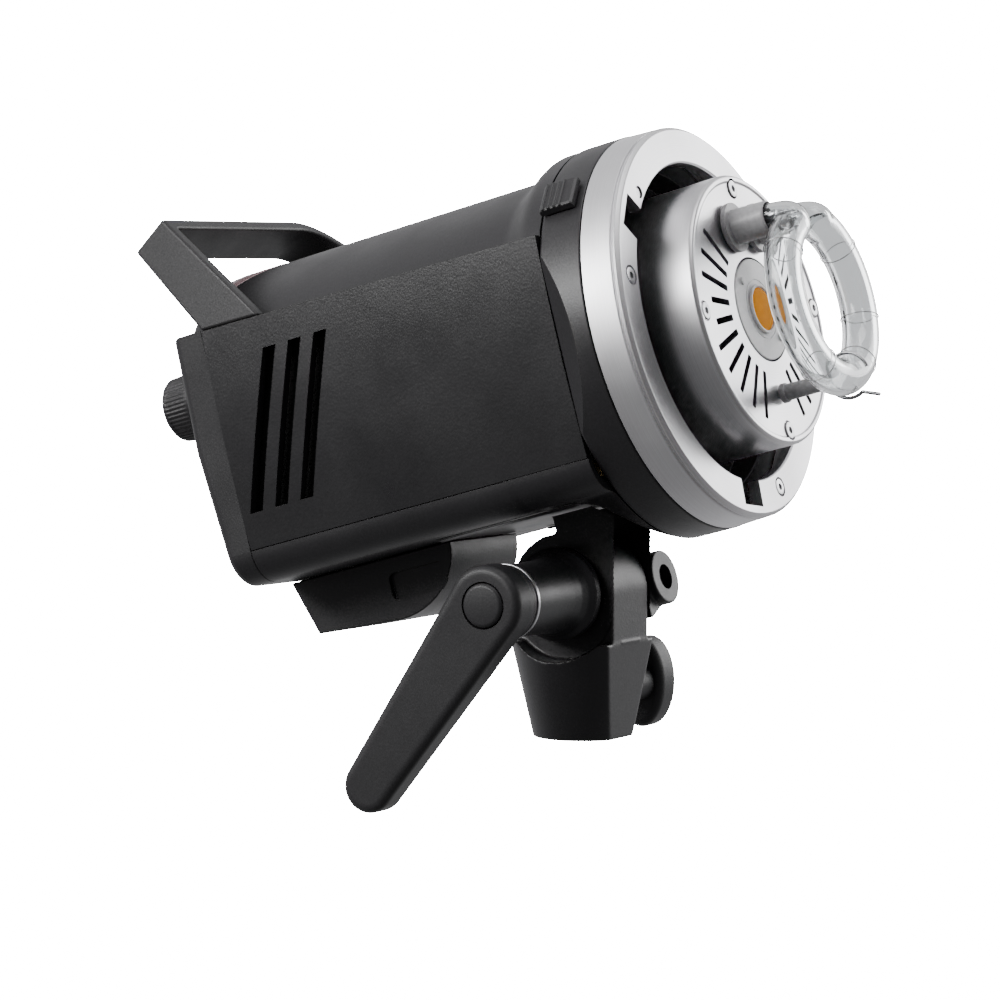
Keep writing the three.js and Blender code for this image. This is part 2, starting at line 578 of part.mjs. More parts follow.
function flashTube() {
  const span = 360 - 2 * TUBE.halfGap;
  const arc = new THREE.CatmullRomCurve3(
    Array.from({ length: TUBE.bends + 1 }, (_, index) => {
      const angle = radians(90 + TUBE.halfGap + (span * index) / TUBE.bends);
      return new THREE.Vector3(
        TUBE.plane, TUBE.ring * Math.cos(angle), TUBE.centreZ + TUBE.ring * Math.sin(angle),
      );
    }),
  );
  const glass = (ringRadius, legRadius, root, sides) => {
    const ends = [arc.points[0], arc.points[TUBE.bends]].map((end) =>
      solidOf(new THREE.SphereGeometry(ringRadius, 10, 6).translate(end.x, end.y, end.z)),
    );
    const legs = [-1, 1].map((side) =>
      rodX(legRadius, [root, TUBE.plane + 1], [side * LEG.y, LEG.z], COARSE),
    );
    const caps = [-1, 1].map((side) =>
      solidOf(new THREE.SphereGeometry(legRadius, COARSE, 6).translate(TUBE.plane + 1, side * LEG.y, LEG.z)),
    );
    return join(sweep(arc, ringRadius, sides, TUBE.steps), ...ends, ...legs, ...caps);
  };
  return cut(glass(TUBE.radius, LEG.radius, LEG.root, 5), glass(TUBE.bore, LEG.bore, LEG.root - 1, 3));
}

const electrode = (side) =>
  rodX(ELECTRODE.radius, [ELECTRODE.root, ELECTRODE.tip], [side * LEG.y, LEG.z], COARSE);

function tubeSocket(side) {
  const { bezel, sleeve, bezelDepth, sleeveEnd, root, wire } = SOCKET;
  const place = [side * LEG.y, LEG.z];
  const front = DRUM.face + GAP;
  const outside = join(
    rodX(bezel, [front, front + bezelDepth], place), rodX(sleeve, [root, sleeveEnd], place),
  );
  const well = rodX(LEG.radius + GAP, [LEG.root - GAP, sleeveEnd + 1], place, COARSE);
  return cut(outside, well, rodX(wire, [root - 1, LEG.root], place, COARSE));
}

function tubePost() {
  const { radius, end, pin, root } = POST;
  const place = [0, TUBE.centreZ - TUBE.ring];
  return join(
    rodX(radius, [DRUM.face + GAP, end], place, COARSE), rodX(pin, [root, DRUM.face + 1], place, COARSE),
  );
}

// A spring wire round the tube, with a tail pointing down and forwards.
function tubeClip() {
  const { y, radius, wire, start, turn, bends, tail } = CLIP;
  const z = TUBE.centreZ - Math.sqrt(TUBE.ring ** 2 - y ** 2);
  const around = Array.from({ length: bends + 1 }, (_, index) => {
    const angle = radians(start + (turn * index) / bends);
    return new THREE.Vector3(TUBE.plane + radius * Math.cos(angle), y, z + radius * Math.sin(angle));
  });
  const end = new THREE.Vector3(TUBE.plane + tail[0], y, z + tail[1]);
  return sweep(new THREE.CatmullRomCurve3([...around, end]), wire, 2, 26);
}

// ---- Head: inside ----
function fanFrame() {
  const { size, depth, front, hub, blade, spoke } = FAN;
  const frame = alongX(roundedRectangle(size, size, 4), [front - depth, front]);
  const reach = blade + 3;
  const spokes = join(
    block([front - 2, front], [-reach, reach], [-spoke, spoke]),
    block([front - 2, front], [-spoke, spoke], [-reach, reach]),
  );
  return join(
    cut(frame, rodX(blade + 1.5, [front - depth - 1, front + 1])), spokes,
    rodX(hub - 1, [front - 3, front]),
  );
}

function fanRotor() {
  const { depth, front, hub, blade, blades, chord, sheet, pitch } = FAN;
  const rear = front - depth + 1;
  const wing = new THREE.BoxGeometry(chord, sheet, blade - hub + 2).rotateZ(radians(pitch));
  const placed = solidOf(wing.translate((rear + front - 3.5) / 2, 0, (blade + hub - 2) / 2));
  const ring = Array.from({ length: blades }, (_, index) => turnedTo(placed, (360 / blades) * index));
  return join(rodX(hub, [rear, front - 3.4]), ...ring);
}

const flashCapacitor = (side) => {
  const { radius, front, rear, y, z } = CAPACITOR;
  return rodX(radius, [rear, front], [side * y, z]);
};
const mainBoard = () => block(MAIN_BOARD.x, [-MAIN_BOARD.half, MAIN_BOARD.half], MAIN_BOARD.z);
const triggerCoil = () => block(COIL.x, COIL.y, COIL.z);

// ---- Head: power box under the casing ----
function powerBoxOutline(inset) {
  const { rearTop, rearBottom, frontBottom, nose, top } = INLET_BOX;
  const shape = new THREE.Shape();
  shape.moveTo(rearTop[0] + inset, top + inset);
  shape.lineTo(rearTop[0] + inset, rearTop[1]);
  shape.lineTo(rearBottom[0] + inset, rearBottom[1] + inset);
  shape.lineTo(frontBottom[0], frontBottom[1] + inset);
  shape.quadraticCurveTo(nose[0] - inset, frontBottom[1] + inset, nose[0] - inset, nose[1]);
  shape.lineTo(nose[0] - inset, top + inset);
  return shape;
}

function powerBox() {
  const { half, wall } = INLET_BOX;
  const inside = alongY(powerBoxOutline(wall), [-half + wall, half - wall]);
  const mouthHalf = INLET.half + GAP;
  const mouth = block([-170, INLET.floor], [-mouthHalf, mouthHalf], [INLET.bottom - GAP, INLET.top + GAP]);
  const grip = block(GRIP.x, [-half - 1, -half + GRIP.depth], GRIP.z);
  return cut(alongY(powerBoxOutline(0), [-half, half]), inside, mouth, grip);
}

function powerInlet() {
  const { half, top, bottom, cavityHalf, front, floor, wall } = INLET;
  const { rearTop, rearBottom } = INLET_BOX;
  const slope = polygon([rearTop, rearBottom, [front, rearBottom[1]], [front, rearTop[1]]]);
  const body = block([rearTop[0], front], [-half, half], [bottom, top]).intersect(
    alongY(slope, [-half, half]),
  );
  const cavity = block([rearTop[0] - 1, floor], [-cavityHalf, cavityHalf], [bottom + wall, top - wall]);
  const pins = [-1, 0, 1].map((index) => {
    const y = index * INLET_PIN.pitch;
    return block([INLET_PIN.rear, floor + 1], [y - INLET_PIN.half, y + INLET_PIN.half], INLET_PIN.z);
  });
  return join(cut(body, cavity), ...pins);
}

// ---- Tilt head: yoke, clamp and umbrella holder, in the tilt frame ----
// The ears' outline from the side: round at the bottom, widening towards the casing.
function earOutline() {
  const { radius, centre, topZ } = EAR;
  const [x, z] = centre;
  const lean = radians(REST_TILT);
  const rise = (topZ - z + radius * Math.sin(lean)) / Math.cos(lean);
  const half = radius * Math.cos(lean) + rise * Math.sin(lean);
  const shape = new THREE.Shape();
  shape.absarc(x, z, radius, Math.PI + lean, 2 * Math.PI - lean, false);
  shape.lineTo(x + half, topZ);
  shape.lineTo(x - half, topZ);
  return shape;
}

// The yoke's outline from the front: straight ears that spread under the casing.
function yokeSpread() {
  const { outer, flare, neckZ, topZ, sweep: bottom } = EAR;
  const shape = new THREE.Shape();
  shape.moveTo(-outer, -bottom - 1);
  shape.lineTo(outer, -bottom - 1);
  shape.lineTo(outer, neckZ);
  shape.quadraticCurveTo(outer + 1.5, topZ - 3, flare, topZ);
  shape.lineTo(-flare, topZ);
  shape.quadraticCurveTo(-outer - 1.5, topZ - 3, -outer, neckZ);
  return shape;
}

// The space between the ears that the tongue passes through as the head tilts.
function tongueRoom() {
  const half = TONGUE.radius + 2 * GAP;
  const slab = geometryOf(block([-half, half], [-EAR.inner, EAR.inner], [-32, 0]));
  const turn = radians(SWING.front + SWING.rear) / SWING.steps;
  const swept = Array.from({ length: SWING.steps + 1 }, (_, index) =>
    solidOf(slab.clone().rotateY(radians(SWING.rear) - turn * index)),
  );
  return join(rodY(TONGUE.radius + 2.2, [-EAR.inner, EAR.inner], [0, 0], 40), ...swept);
}

function tiltYoke() {
  const { inner, flare, topZ, web } = EAR;
  const blank = alongY(earOutline(), [-flare, flare], SMOOTH).intersect(alongX(yokeSpread(), [-60, 60], 4));
  const opening = block([web, BEYOND], [-inner, inner], [-BEYOND, topZ + 1]);
  const boss = rodY(BOSS.radius, [BOSS.end, -EAR.outer + 1]);
  const boltHole = rodY(BOLT.clearance, [-60, 30], [0, 0], COARSE);
  const headSeat = rodY(BOLT.head + GAP, [EAR.outer - BOLT.headDepth - GAP, 30]);
  const chin = solidOf(geometryOf(chinFlare(GAP)).translate(OPTICS.x, 0, OPTICS.z));
  return cut(join(blank, boss), tongueRoom(), opening, boltHole, headSeat, chin);
}

function tiltBolt() {
  const seat = EAR.outer - BOLT.headDepth;
  return join(rodY(BOLT.head, [seat, EAR.outer - GAP]), rodY(BOLT.radius, [-54, seat + 1], [0, 0], COARSE));
}

function leverWasher() {
  return cut(
    rodY(WASHER.radius, [WASHER.outer, BOSS.end - GAP]), rodY(BOLT.clearance, [-60, 0], [0, 0], COARSE),
  );
}

function clampNut() {
  const { radius, y, stud, studEnd, threadEnd } = CLAMP_NUT;
  const body = join(rodY(radius, y), rodY(stud, [studEnd, y[0] + 1]));
  return cut(body, rodY(BOLT.clearance, [threadEnd, y[1] + 1], [0, 0], COARSE));
}

// The lever hangs down and back from its hub.
function leverOutline() {
  const { hub, reach, endRadius, angle } = LEVER;
  const along = radians(270 - angle);
  const spread = Math.acos((hub - endRadius) / (reach - endRadius));
  const end = [(reach - endRadius) * Math.cos(along), (reach - endRadius) * Math.sin(along)];
  const shape = new THREE.Shape();
  shape.absarc(0, 0, hub, along + spread, along - spread + 2 * Math.PI, false);
  shape.absarc(...end, endRadius, along - spread, along + spread, false);
  return shape;
}

function tiltLever() {
  const { hub, inner, outer, armInner, armOuter } = LEVER;
  const arm = alongY(leverOutline(), [armOuter, armInner], SMOOTH);
  const { nut, well, floor } = LEVER_BORE;
  return cut(join(rodY(hub, [outer, inner]), arm), rodY(nut, [-60, -50]), rodY(well, [-70, floor]));
}

const leverCap = () => rodY(LEVER_CAP.radius, LEVER_CAP.y);

function umbrellaHolder() {
  const { y, z, radius, bore, front, rear, foot, footBottom } = UMBRELLA;
  const inner = EAR.outer + GAP;
  const web = polygon([
    [inner, z + radius], [y, z + radius], [y + radius * 0.8, z - radius * 0.6], [inner + 1.5, footBottom],
    [inner, footBottom],
  ]);
  const screwHole = rodY(UMBRELLA_LOCK.hole, [y, y + radius + 1], [UMBRELLA_LOCK.x, z], COARSE);
  return cut(
    join(rodX(radius, [rear, front], [y, z]), alongX(web, foot)), rodX(bore, [rear - 1, front + 1], [y, z]),
    screwHole,
  );
}

// A rod on the umbrella lock's axis, its ends counted from the middle of the umbrella shaft.
function onUmbrellaLock(radius, [start, end], sides = COARSE) {
  return rodY(radius, [UMBRELLA.y + start, UMBRELLA.y + end], [UMBRELLA_LOCK.x, UMBRELLA.z], sides);
}

const umbrellaPad = () => onUmbrellaLock(UMBRELLA_LOCK.screw, UMBRELLA_LOCK.pad);
const umbrellaScrew = () =>
  join(
    onUmbrellaLock(UMBRELLA_LOCK.screw, UMBRELLA_LOCK.shank),
    onUmbrellaLock(UMBRELLA_LOCK.knob, UMBRELLA_LOCK.head, MEDIUM),
  );

const frictionDisc = (side) => {
  const faces = [TONGUE.half - TONGUE.recessDepth + GAP, EAR.inner - GAP].map((face) => side * face);
  const range = faces.sort((a, b) => a - b);
  return cut(rodY(FRICTION_RADIUS, range), rodY(BOLT.clearance + GAP, [-20, 20], [0, 0], COARSE));
};

// ---- Stand bracket ----
// The socket for the light stand: a cone, flattened at the front, with room for the ears to turn above it.
function standSocket() {
  const { mouth, shoulder, shoulderZ, flat } = STAND_SOCKET;
  const front = polygon(
    [[flat[0], 0], [flat[1], shoulderZ], [BEYOND, shoulderZ], [BEYOND, -1], [flat[0], -1]],
  );
  const earRoom = [[-BEYOND, -TONGUE.half], [TONGUE.half, BEYOND]].map((range) =>
    rodY(EAR.sweep + GAP, range, [0, AXIS_HEIGHT], 40),
  );
  return cut(coneZ(mouth, shoulder, [0, shoulderZ], 40), alongY(front, [-BEYOND, BEYOND]), ...earRoom);
}

function standBracket() {
  const { half, radius, recess, recessDepth } = TONGUE;
  const { bore, depth, shoulderZ } = STAND_SOCKET;
  const axis = [0, AXIS_HEIGHT];
  const tongue = join(
    rodY(radius, [-half, half], axis, 40),
    block([-radius, radius], [-half, half], [shoulderZ - 1, AXIS_HEIGHT]),
  );
  const recesses = [[-half - 1, -half + recessDepth], [half - recessDepth, half + 1]].map((range) =>
    rodY(recess, range, axis),
  );
  const boltHole = rodY(BOLT.clearance, [-half - 1, half + 1], axis, COARSE);
  const screwHole = rodY(STAND_LOCK.screw + 0.4, [0, BEYOND], [0, STAND_LOCK.z], COARSE);
  return cut(join(standSocket(), tongue), coneZ(bore, bore, [-1, depth]), ...recesses, boltHole, screwHole);
}

const lockPad = () => rodY(STAND_LOCK.pad, STAND_LOCK.padY, [0, STAND_LOCK.z], COARSE);

function lockKnob() {
  const { z, neck, neckStart, halfX, halfZ, wingInner, wingOuter, screw, screwTip } = STAND_LOCK;
  const oval = new THREE.Shape().absellipse(0, z, halfX, halfZ, 0, 2 * Math.PI, false);
  const thread = rodY(screw, [screwTip, neckStart + 1], [0, z], COARSE);
  return join(
    thread, rodY(neck, [neckStart, wingInner + 1], [0, z]),
    alongY(oval, [wingInner, wingOuter], SMOOTH * 2),
  );
}

// ---- Assembly ----
function optics() {
  const group = new THREE.Group();
  group.add(
    piece("main_housing", mainHousing(), BLACK_PLASTIC), piece("rear_cover", rearCover(), BLACK_PLASTIC),
    piece("side_panel_right", sidePanel(-1), BLACK_PLASTIC),
    piece("side_panel_left", sidePanel(1), BLACK_PLASTIC),
    piece("carry_handle", handle(), DARK_GREY_PLASTIC), piece("front_collar", frontCollar(), BLACK_PLASTIC),
    piece("bayonet_ring", bayonetRing(), SATIN_METAL),
    piece("release_slider", releaseSlider(), BLACK_PLASTIC),
    piece("lock_pin", lockPin(), STEEL), piece("lamp_drum", lampDrum(), SATIN_METAL),
    piece("lamp_chassis", lampChassis(), STEEL), piece("led_heat_sink", ledHeatSink(), STEEL),
    piece("led_plate", ledPlate(), WHITE_BOARD), piece("led_chip", ledChip(), AMBER),
    piece("flash_tube", flashTube(), CLEAR_GLASS), piece("tube_post", tubePost(), CERAMIC),
    piece("tube_clip", tubeClip(), STEEL), piece("display_window", displayWindow(), DARK_GLASS),
    piece("control_board", controlBoard(), CIRCUIT_BOARD),
    piece("control_dial", controlDial(), DARK_GREY_PLASTIC), piece("fan_frame", fanFrame(), BLACK_PLASTIC),
    piece("fan_rotor", fanRotor(), DARK_GREY_PLASTIC), piece("main_board", mainBoard(), CIRCUIT_BOARD),
    piece("trigger_coil", triggerCoil(), BRASS), piece("power_box", powerBox(), BLACK_PLASTIC),
    piece("power_inlet", powerInlet(), DARK_GREY_PLASTIC),
    piece(
      "sensor_window", sensorArc(SENSOR.thickness, [SENSOR.rear, SENSOR.front], SENSOR.halfAngle, 0),
      RED_LENS,
    ),
  );
  RING_SCREW.angles.forEach(
    (angle, index) => group.add(piece(`ring_screw_${index + 1}`, ringScrew(angle), STEEL)),
  );
  fourTimes(faceScrew).forEach((screw, index) => group.add(piece(`face_screw_${index + 1}`, screw, STEEL)));
  for (const [name, place] of Object.entries(BUTTON.places)) {
    group.add(piece(`${name}_button`, keyCap(place), SOFT_KEY));
  }
  for (const [name, side] of [["right", -1], ["left", 1]]) {
    group.add(piece(`tube_socket_${name}`, tubeSocket(side), CERAMIC));
    group.add(piece(`electrode_${name}`, electrode(side), STEEL));
    group.add(piece(`flash_capacitor_${name}`, flashCapacitor(side), CAPACITOR_SLEEVE));
  }
  const rocker = piece("power_rocker", powerRocker(), DARK_GREY_PLASTIC);
  rocker.position.set(COVER.edge + ROCKER.face, ROCKER.y, ROCKER.z);
  rocker.rotation.y = radians(ROCKER.tilt);
  group.add(rocker);
  group.position.set(OPTICS.x, 0, OPTICS.z);
  return group;
}

// The lever keeps its place in the room, so its group turns the head's tilt back.
function lever() {
  const group = new THREE.Group();
  group.add(
    piece("tilt_lever", tiltLever(), DARK_GREY_PLASTIC), piece("lever_cap", leverCap(), DARK_GREY_PLASTIC),
    piece("clamp_nut", clampNut(), BRASS), piece("lever_washer", leverWasher(), STEEL),
  );
  group.rotation.y = radians(REST_TILT);
  return group;
}

function head() {
  const group = new THREE.Group();
  group.add(
    optics(), lever(), piece("tilt_yoke", tiltYoke(), BLACK_PLASTIC), piece("tilt_bolt", tiltBolt(), STEEL),
    piece("umbrella_holder", umbrellaHolder(), BLACK_PLASTIC), piece("umbrella_pad", umbrellaPad(), BRASS),
    piece("umbrella_screw", umbrellaScrew(), DARK_GREY_PLASTIC),
    piece("friction_disc_right", frictionDisc(-1), FRICTION_PAD),
    piece("friction_disc_left", frictionDisc(1), FRICTION_PAD),
  );
  group.position.z = AXIS_HEIGHT;
  group.rotation.y = -radians(REST_TILT);
  return group;
}

const strobe = new THREE.Group();
strobe.add(
  head(), piece("stand_bracket", standBracket(), BLACK_PLASTIC), piece("lock_pad", lockPad(), BRASS),
  piece("lock_knob", lockKnob(), DARK_GREY_PLASTIC),
);

export default strobe;
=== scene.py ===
"""Looks for the monolight studio strobe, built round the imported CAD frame."""

import json
import math

import bmesh
import bpy
from mathutils import Matrix, Vector


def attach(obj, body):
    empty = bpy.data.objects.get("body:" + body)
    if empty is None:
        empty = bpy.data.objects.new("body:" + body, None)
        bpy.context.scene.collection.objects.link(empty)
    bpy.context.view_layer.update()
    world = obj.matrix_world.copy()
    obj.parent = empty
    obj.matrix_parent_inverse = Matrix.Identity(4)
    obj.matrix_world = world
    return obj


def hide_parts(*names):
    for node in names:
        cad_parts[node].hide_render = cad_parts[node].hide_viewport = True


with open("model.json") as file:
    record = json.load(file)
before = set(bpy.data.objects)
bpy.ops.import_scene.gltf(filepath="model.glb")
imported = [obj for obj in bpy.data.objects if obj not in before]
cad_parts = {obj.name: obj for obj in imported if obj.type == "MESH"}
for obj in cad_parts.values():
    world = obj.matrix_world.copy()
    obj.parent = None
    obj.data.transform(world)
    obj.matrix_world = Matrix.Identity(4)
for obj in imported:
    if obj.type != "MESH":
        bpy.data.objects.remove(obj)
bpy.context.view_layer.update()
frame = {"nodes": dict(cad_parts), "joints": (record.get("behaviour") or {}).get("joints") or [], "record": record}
nodes = frame["nodes"]
record = frame["record"]

# ---- Frames: lengths in the code are millimetres, and MM turns them into metres ----
MM = 0.001
tilt_axis = Vector(next(j for j in frame["joints"] if j["name"] == "head_tilt")["pos_m"])
facing = Vector(next(m for m in record["mounts"] if m["name"] == "bayonet_face")["axis"])
PITCH = math.asin(facing.z)
ROW = Matrix.Identity(4)
HANG = Matrix.Translation(tilt_axis)  # upright, on the tilt axis
TILT = HANG @ Matrix.Rotation(-PITCH, 4, "Y")
RING_CENTRE = Vector((69, 0, 70.4))  # the front of the mounting ring on the optical axis, from the tilt axis
OPTICS = TILT @ Matrix.Translation(RING_CENTRE * MM)

# ---- Driving sizes, as in the CAD ----
RING = {"outer": 62.5, "opening": 50.75, "cavity": 59.3, "plate": 4, "depth": 12.7, "lip": 0.6}
BODY = {"front": -27.6, "rear": -152.4, "dome": 57.7, "ledge": 35, "half": 55}
BODY |= {"bottom": -45.5, "corner": 10.5}
PANEL = {"thickness": 2.3, "crown": 1.2, "top": 34.7, "front": -27.9, "rear": -152.4}
VENT = {"width": 4.9, "pitch": 9.7, "top_x": -130.9, "bottom_x": -149.2, "top_z": 26, "bottom_z": -23.5}
COVER = {"front": -152.7, "edge": -164.6, "crown": 3, "rim": 3.2, "slope": 2.2}
DRUM = {"radius": 43, "face": 14.4, "rear": -27.2, "wall": 1.3}
TUBE = {"ring": 25, "radius": 5.8, "bore": 4.3, "plane": 35, "centre_z": -2}
LEG = {"y": 8, "z": 25.6, "radius": 4.4, "bore": 3}
LEVER = {"hub": 12.3, "reach": 80, "end": 8.4, "angle": 35.7, "front": -65, "rear": -53.5, "soft": 2.6}
EAR = {"radius": 17.8, "x": -0.8, "z": -2.9, "top": 24.6, "sweep": 20.9}
LEDGE_RISE = 2.1  # how much the ledges climb from the front to the rear
CHIN = {"start": -56, "length": 28.4, "lean": 0.35}  # the flare under the casing, towards the collar
SENSOR = {"front": -146, "length": 13.5, "narrow": 9, "widening": 25}
COLLAR = {"front": -13, "rear": -27.3, "outer": 63.3, "flat": 56.3, "slope": 39}
SLIDER = {"rear": -26.8, "front": -15.2, "half": 5.7, "base": 63.7, "top": 66.2, "angle": 44}
LOCK_PIN = {"angle": 49, "radius": 54}
RING_SCREW = {"angles": (15.5, 135.5, -104.5), "radius": 55.5, "head": 2.6, "length": 16}
FACE_SCREW = {"angles": (0, 90, 180, 270), "radius": 38.5, "head": 2.7, "length": 10}
NOTCH_ANGLES = (37, 157, -83)
POST_Z = -27
KEY_PLACES = {"mode": 25, "group": 12.5, "lamp": 0, "test": -12.5}
DISPLAY = (8, 21)
DIAL = {"front": -167.9, "radius": 11, "depth": 12, "place": (-36, 17)}
ROCKER = (-30, -26)
UMBRELLA = {"y": 29, "z": -1, "screw_x": 1.5}
LOCK_KNOB = {"z": 13.5, "inner": 38.4, "outer": 50, "half_x": 8.6, "half_z": 14.8, "edge": 2.8}
TONGUE = {"radius": 17, "half": 12}
AXIS_HEIGHT = tilt_axis.z / MM


# ---- Meshes ----
def arc(centre, radius, start, end, steps):
    turn = [math.radians(start + (end - start) * i / steps) for i in range(steps + 1)]
    return [(centre[0] + radius * math.cos(t), centre[1] + radius * math.sin(t)) for t in turn]


def circle(centre, radius, steps=48):
    return arc(centre, radius, 0, 360, steps)[:-1]


def rounded_box(width, height, radius, centre=(0, 0), steps=5):
    points = []
    for a, b, start in ((1, 1, 0), (-1, 1, 90), (-1, -1, 180), (1, -1, 270)):
        corner = (centre[0] + a * (width / 2 - radius), centre[1] + b * (height / 2 - radius))
        points += arc(corner, radius, start, start + 90, steps)
    return points


def place_point(axis, a, b, along):
    return {"X": (along, a, b), "Y": (a, along, b), "Z": (a, b, along)}[axis]


def loft(rings, capped=True):
    """Skins rings of points that all have the same count."""
    bm = bmesh.new()
    rows = [[bm.verts.new(p) for p in ring] for ring in rings]
    for low, high in zip(rows, rows[1:]):
        for i in range(len(low)):
            j = (i + 1) % len(low)
            bm.faces.new((low[i], low[j], high[j], high[i]))
    if capped:
        bm.faces.new(rows[0])
        bm.faces.new(rows[-1])
    return clean(bm)


def clean(bm):
    bmesh.ops.remove_doubles(bm, verts=bm.verts, dist=1e-3)
    bmesh.ops.recalc_face_normals(bm, faces=bm.faces)
    return bm


def prism(points, low, high, axis):
    """A flat outline pushed along an axis."""
    return loft([[place_point(axis, a, b, along) for a, b in points] for along in (low, high)])


def rod(radius, low, high, axis, centre=(0, 0), steps=48):
    return prism(circle(centre, radius, steps), low, high, axis)


def box(x, y, z):
    return prism([(x[0], y[0]), (x[1], y[0]), (x[1], y[1]), (x[0], y[1])], z[0], z[1], "Z")


def turned(profile, steps=128, ripple=None):
    """A closed profile of (distance along X, radius) turned about X."""
    bm = bmesh.new()
    rows = []
    for x, radius in profile:
        ring = []
        for i in range(steps):
            t = 2 * math.pi * i / steps
            r = radius + (ripple(x, t) if ripple else 0)
            ring.append(bm.verts.new((x, r * math.cos(t), r * math.sin(t))))
        rows.append((radius, ring))
    for (r0, low), (r1, high) in zip(rows, rows[1:] + rows[:1]):
        if r0 == 0 and r1 == 0:
            continue
        for i in range(steps):
            j = (i + 1) % steps
            bm.faces.new((low[i], low[j], high[j], high[i]))
    return clean(bm)


def rounded_profile(points, radius, steps=4):
    """Rounds each corner of a closed profile."""
    made = []
    count = len(points)
    for i, point in enumerate(points):
        here, before, after = Vector(point), Vector(points[i - 1]), Vector(points[(i + 1) % count])
        back, on = before - here, after - here
        if here.y == 0 or back.length == 0 or on.length == 0:
            made.append(tuple(here))
            continue
        reach = min(radius, back.length * 0.45, on.length * 0.45)
        start, end = here + back.normalized() * reach, here + on.normalized() * reach
        for k in range(steps + 1):
            t = k / steps
            made.append(tuple(start * (1 - t) ** 2 + here * 2 * t * (1 - t) + end * t**2))
    return made


def swept(path, radius_at, sides=24, closed=False):
    """A round tube along a path. radius_at is a number or a function of the share along it."""
    points = [Vector(p) for p in path]
    count = len(points)
    bm = bmesh.new()
    normal = None
    rows = []
    for i, point in enumerate(points):
        before = points[i - 1] if i or closed else point
        after = points[(i + 1) % count] if i < count - 1 or closed else point
        along = (after - before).normalized()
        if normal is None:
            normal = along.orthogonal().normalized()
        normal = (normal - along * normal.dot(along)).normalized()
        side = along.cross(normal)
        r = radius_at(i / (count - 1)) if callable(radius_at) else radius_at
        turns = [2 * math.pi * k / sides for k in range(sides)]
        ring = [point + (normal * math.cos(t) + side * math.sin(t)) * r for t in turns]
        rows.append([bm.verts.new(p) for p in ring])
    pairs = list(zip(rows, rows[1:])) + ([(rows[-1], rows[0])] if closed else [])
    for low, high in pairs:
        for k in range(sides):
            j = (k + 1) % sides
            bm.faces.new((low[k], low[j], high[j], high[k]))
    if not closed:
        bm.faces.new(rows[0])
        bm.faces.new(rows[-1])
    bmesh.ops.recalc_face_normals(bm, faces=bm.faces)
    return bm


def about_axis(bm, angle):
    """Turns a shape about the optical axis, from the top to an angle up from the right side."""
    bm.transform(Matrix.Rotation(math.radians(90 - angle), 4, "X"))
    return bm


def joined(shapes):
    whole = bmesh.new()
    for shape in shapes:
        mesh = bpy.data.meshes.new("part")
        shape.to_mesh(mesh)
        whole.from_mesh(mesh)
        shape.free()
        bpy.data.meshes.remove(mesh)
    return whole


# ---- Pieces ----
def object_of(bm, name, place):
    bm.transform(Matrix.Scale(MM, 4))
    mesh = bpy.data.meshes.new(name)
    bm.to_mesh(mesh)
    bm.free()
    made = bpy.data.objects.new(name, mesh)
    bpy.context.scene.collection.objects.link(made)
    made.matrix_world = place
    bpy.context.view_layer.update()
    return made


def baked(obj):
    bpy.context.view_layer.update()
    graph = bpy.context.evaluated_depsgraph_get()
    mesh = bpy.data.meshes.new_from_object(obj.evaluated_get(graph))
    obj.modifiers.clear()
    old, obj.data = obj.data, mesh
    bpy.data.meshes.remove(old)
    mesh.name = obj.name
    return obj


def combine(obj, shapes, operation="DIFFERENCE"):
    """Cuts shapes from a piece, or adds them to it."""
    for shape in shapes:
        tool = object_of(shape, "tool", obj.matrix_world.copy())
        step = obj.modifiers.new("combine", "BOOLEAN")
        step.operation, step.solver, step.object = operation, "EXACT", tool
        baked(obj)
        mesh = tool.data
        bpy.data.objects.remove(tool)
        bpy.data.meshes.remove(mesh)
    return obj


def added(obj, shape):
    """Sets a loose shape into a piece, for blended() to melt in."""
    shape.transform(Matrix.Scale(MM, 4))
    extra = bpy.data.meshes.new("extra")
    shape.to_mesh(extra)
    shape.free()
    both = bmesh.new()
    both.from_mesh(obj.data)
    both.from_mesh(extra)
    bmesh.ops.recalc_face_normals(both, faces=both.faces)
    both.to_mesh(obj.data)
    both.free()
    bpy.data.meshes.remove(extra)
    return obj


def softened(obj, width, segments=3, angle=32):
    step = obj.modifiers.new("soft_edges", "BEVEL")
    step.width, step.segments = width * MM, segments
    step.limit_method, step.angle_limit = "ANGLE", math.radians(angle)
    step.use_clamp_overlap, step.miter_outer = True, "MITER_ARC"
    return baked(obj)


def blended(obj, voxel, rounds=6, factor=0.5):
    """Melts overlapping shapes into one moulded skin with soft inner and outer corners."""
    step = obj.modifiers.new("melt", "REMESH")
    step.mode, step.voxel_size = "VOXEL", voxel * MM
    ease = obj.modifiers.new("ease", "SMOOTH")
    ease.iterations, ease.factor = rounds, factor
    return baked(obj)


def finished(obj, body, slot, look, stands_for=(), crisp=40, weighted=True):
    """Shades a piece, gives it its finish, and sets it on its body."""
    mesh = obj.data
    mesh.polygons.foreach_set("use_smooth", [True] * len(mesh.polygons))
    mesh.set_sharp_from_angle(angle=math.radians(crisp))
    if weighted:
        step = obj.modifiers.new("even_shading", "WEIGHTED_NORMAL")
        step.keep_sharp = True
        baked(obj)
    obj.data.materials.clear()
    obj.data.materials.append(look)
    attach(obj, body)
    if stands_for:
        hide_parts(*stands_for)
    return obj


# ---- Finishes ----
FINE_RELIEF, METAL_RELIEF, GLASS_RELIEF = 0.00008, 0.00005, 0.0004  # metres


def material_of(name, colour, roughness, metallic=0.0):
    made = bpy.data.materials.new(name)
    made.use_nodes = True
    shader = made.node_tree.nodes["Principled BSDF"]
    shader.inputs["Base Color"].default_value = (*colour, 1)
    shader.inputs["Roughness"].default_value = roughness
    shader.inputs["Metallic"].default_value = metallic
    return made, made.node_tree, shader


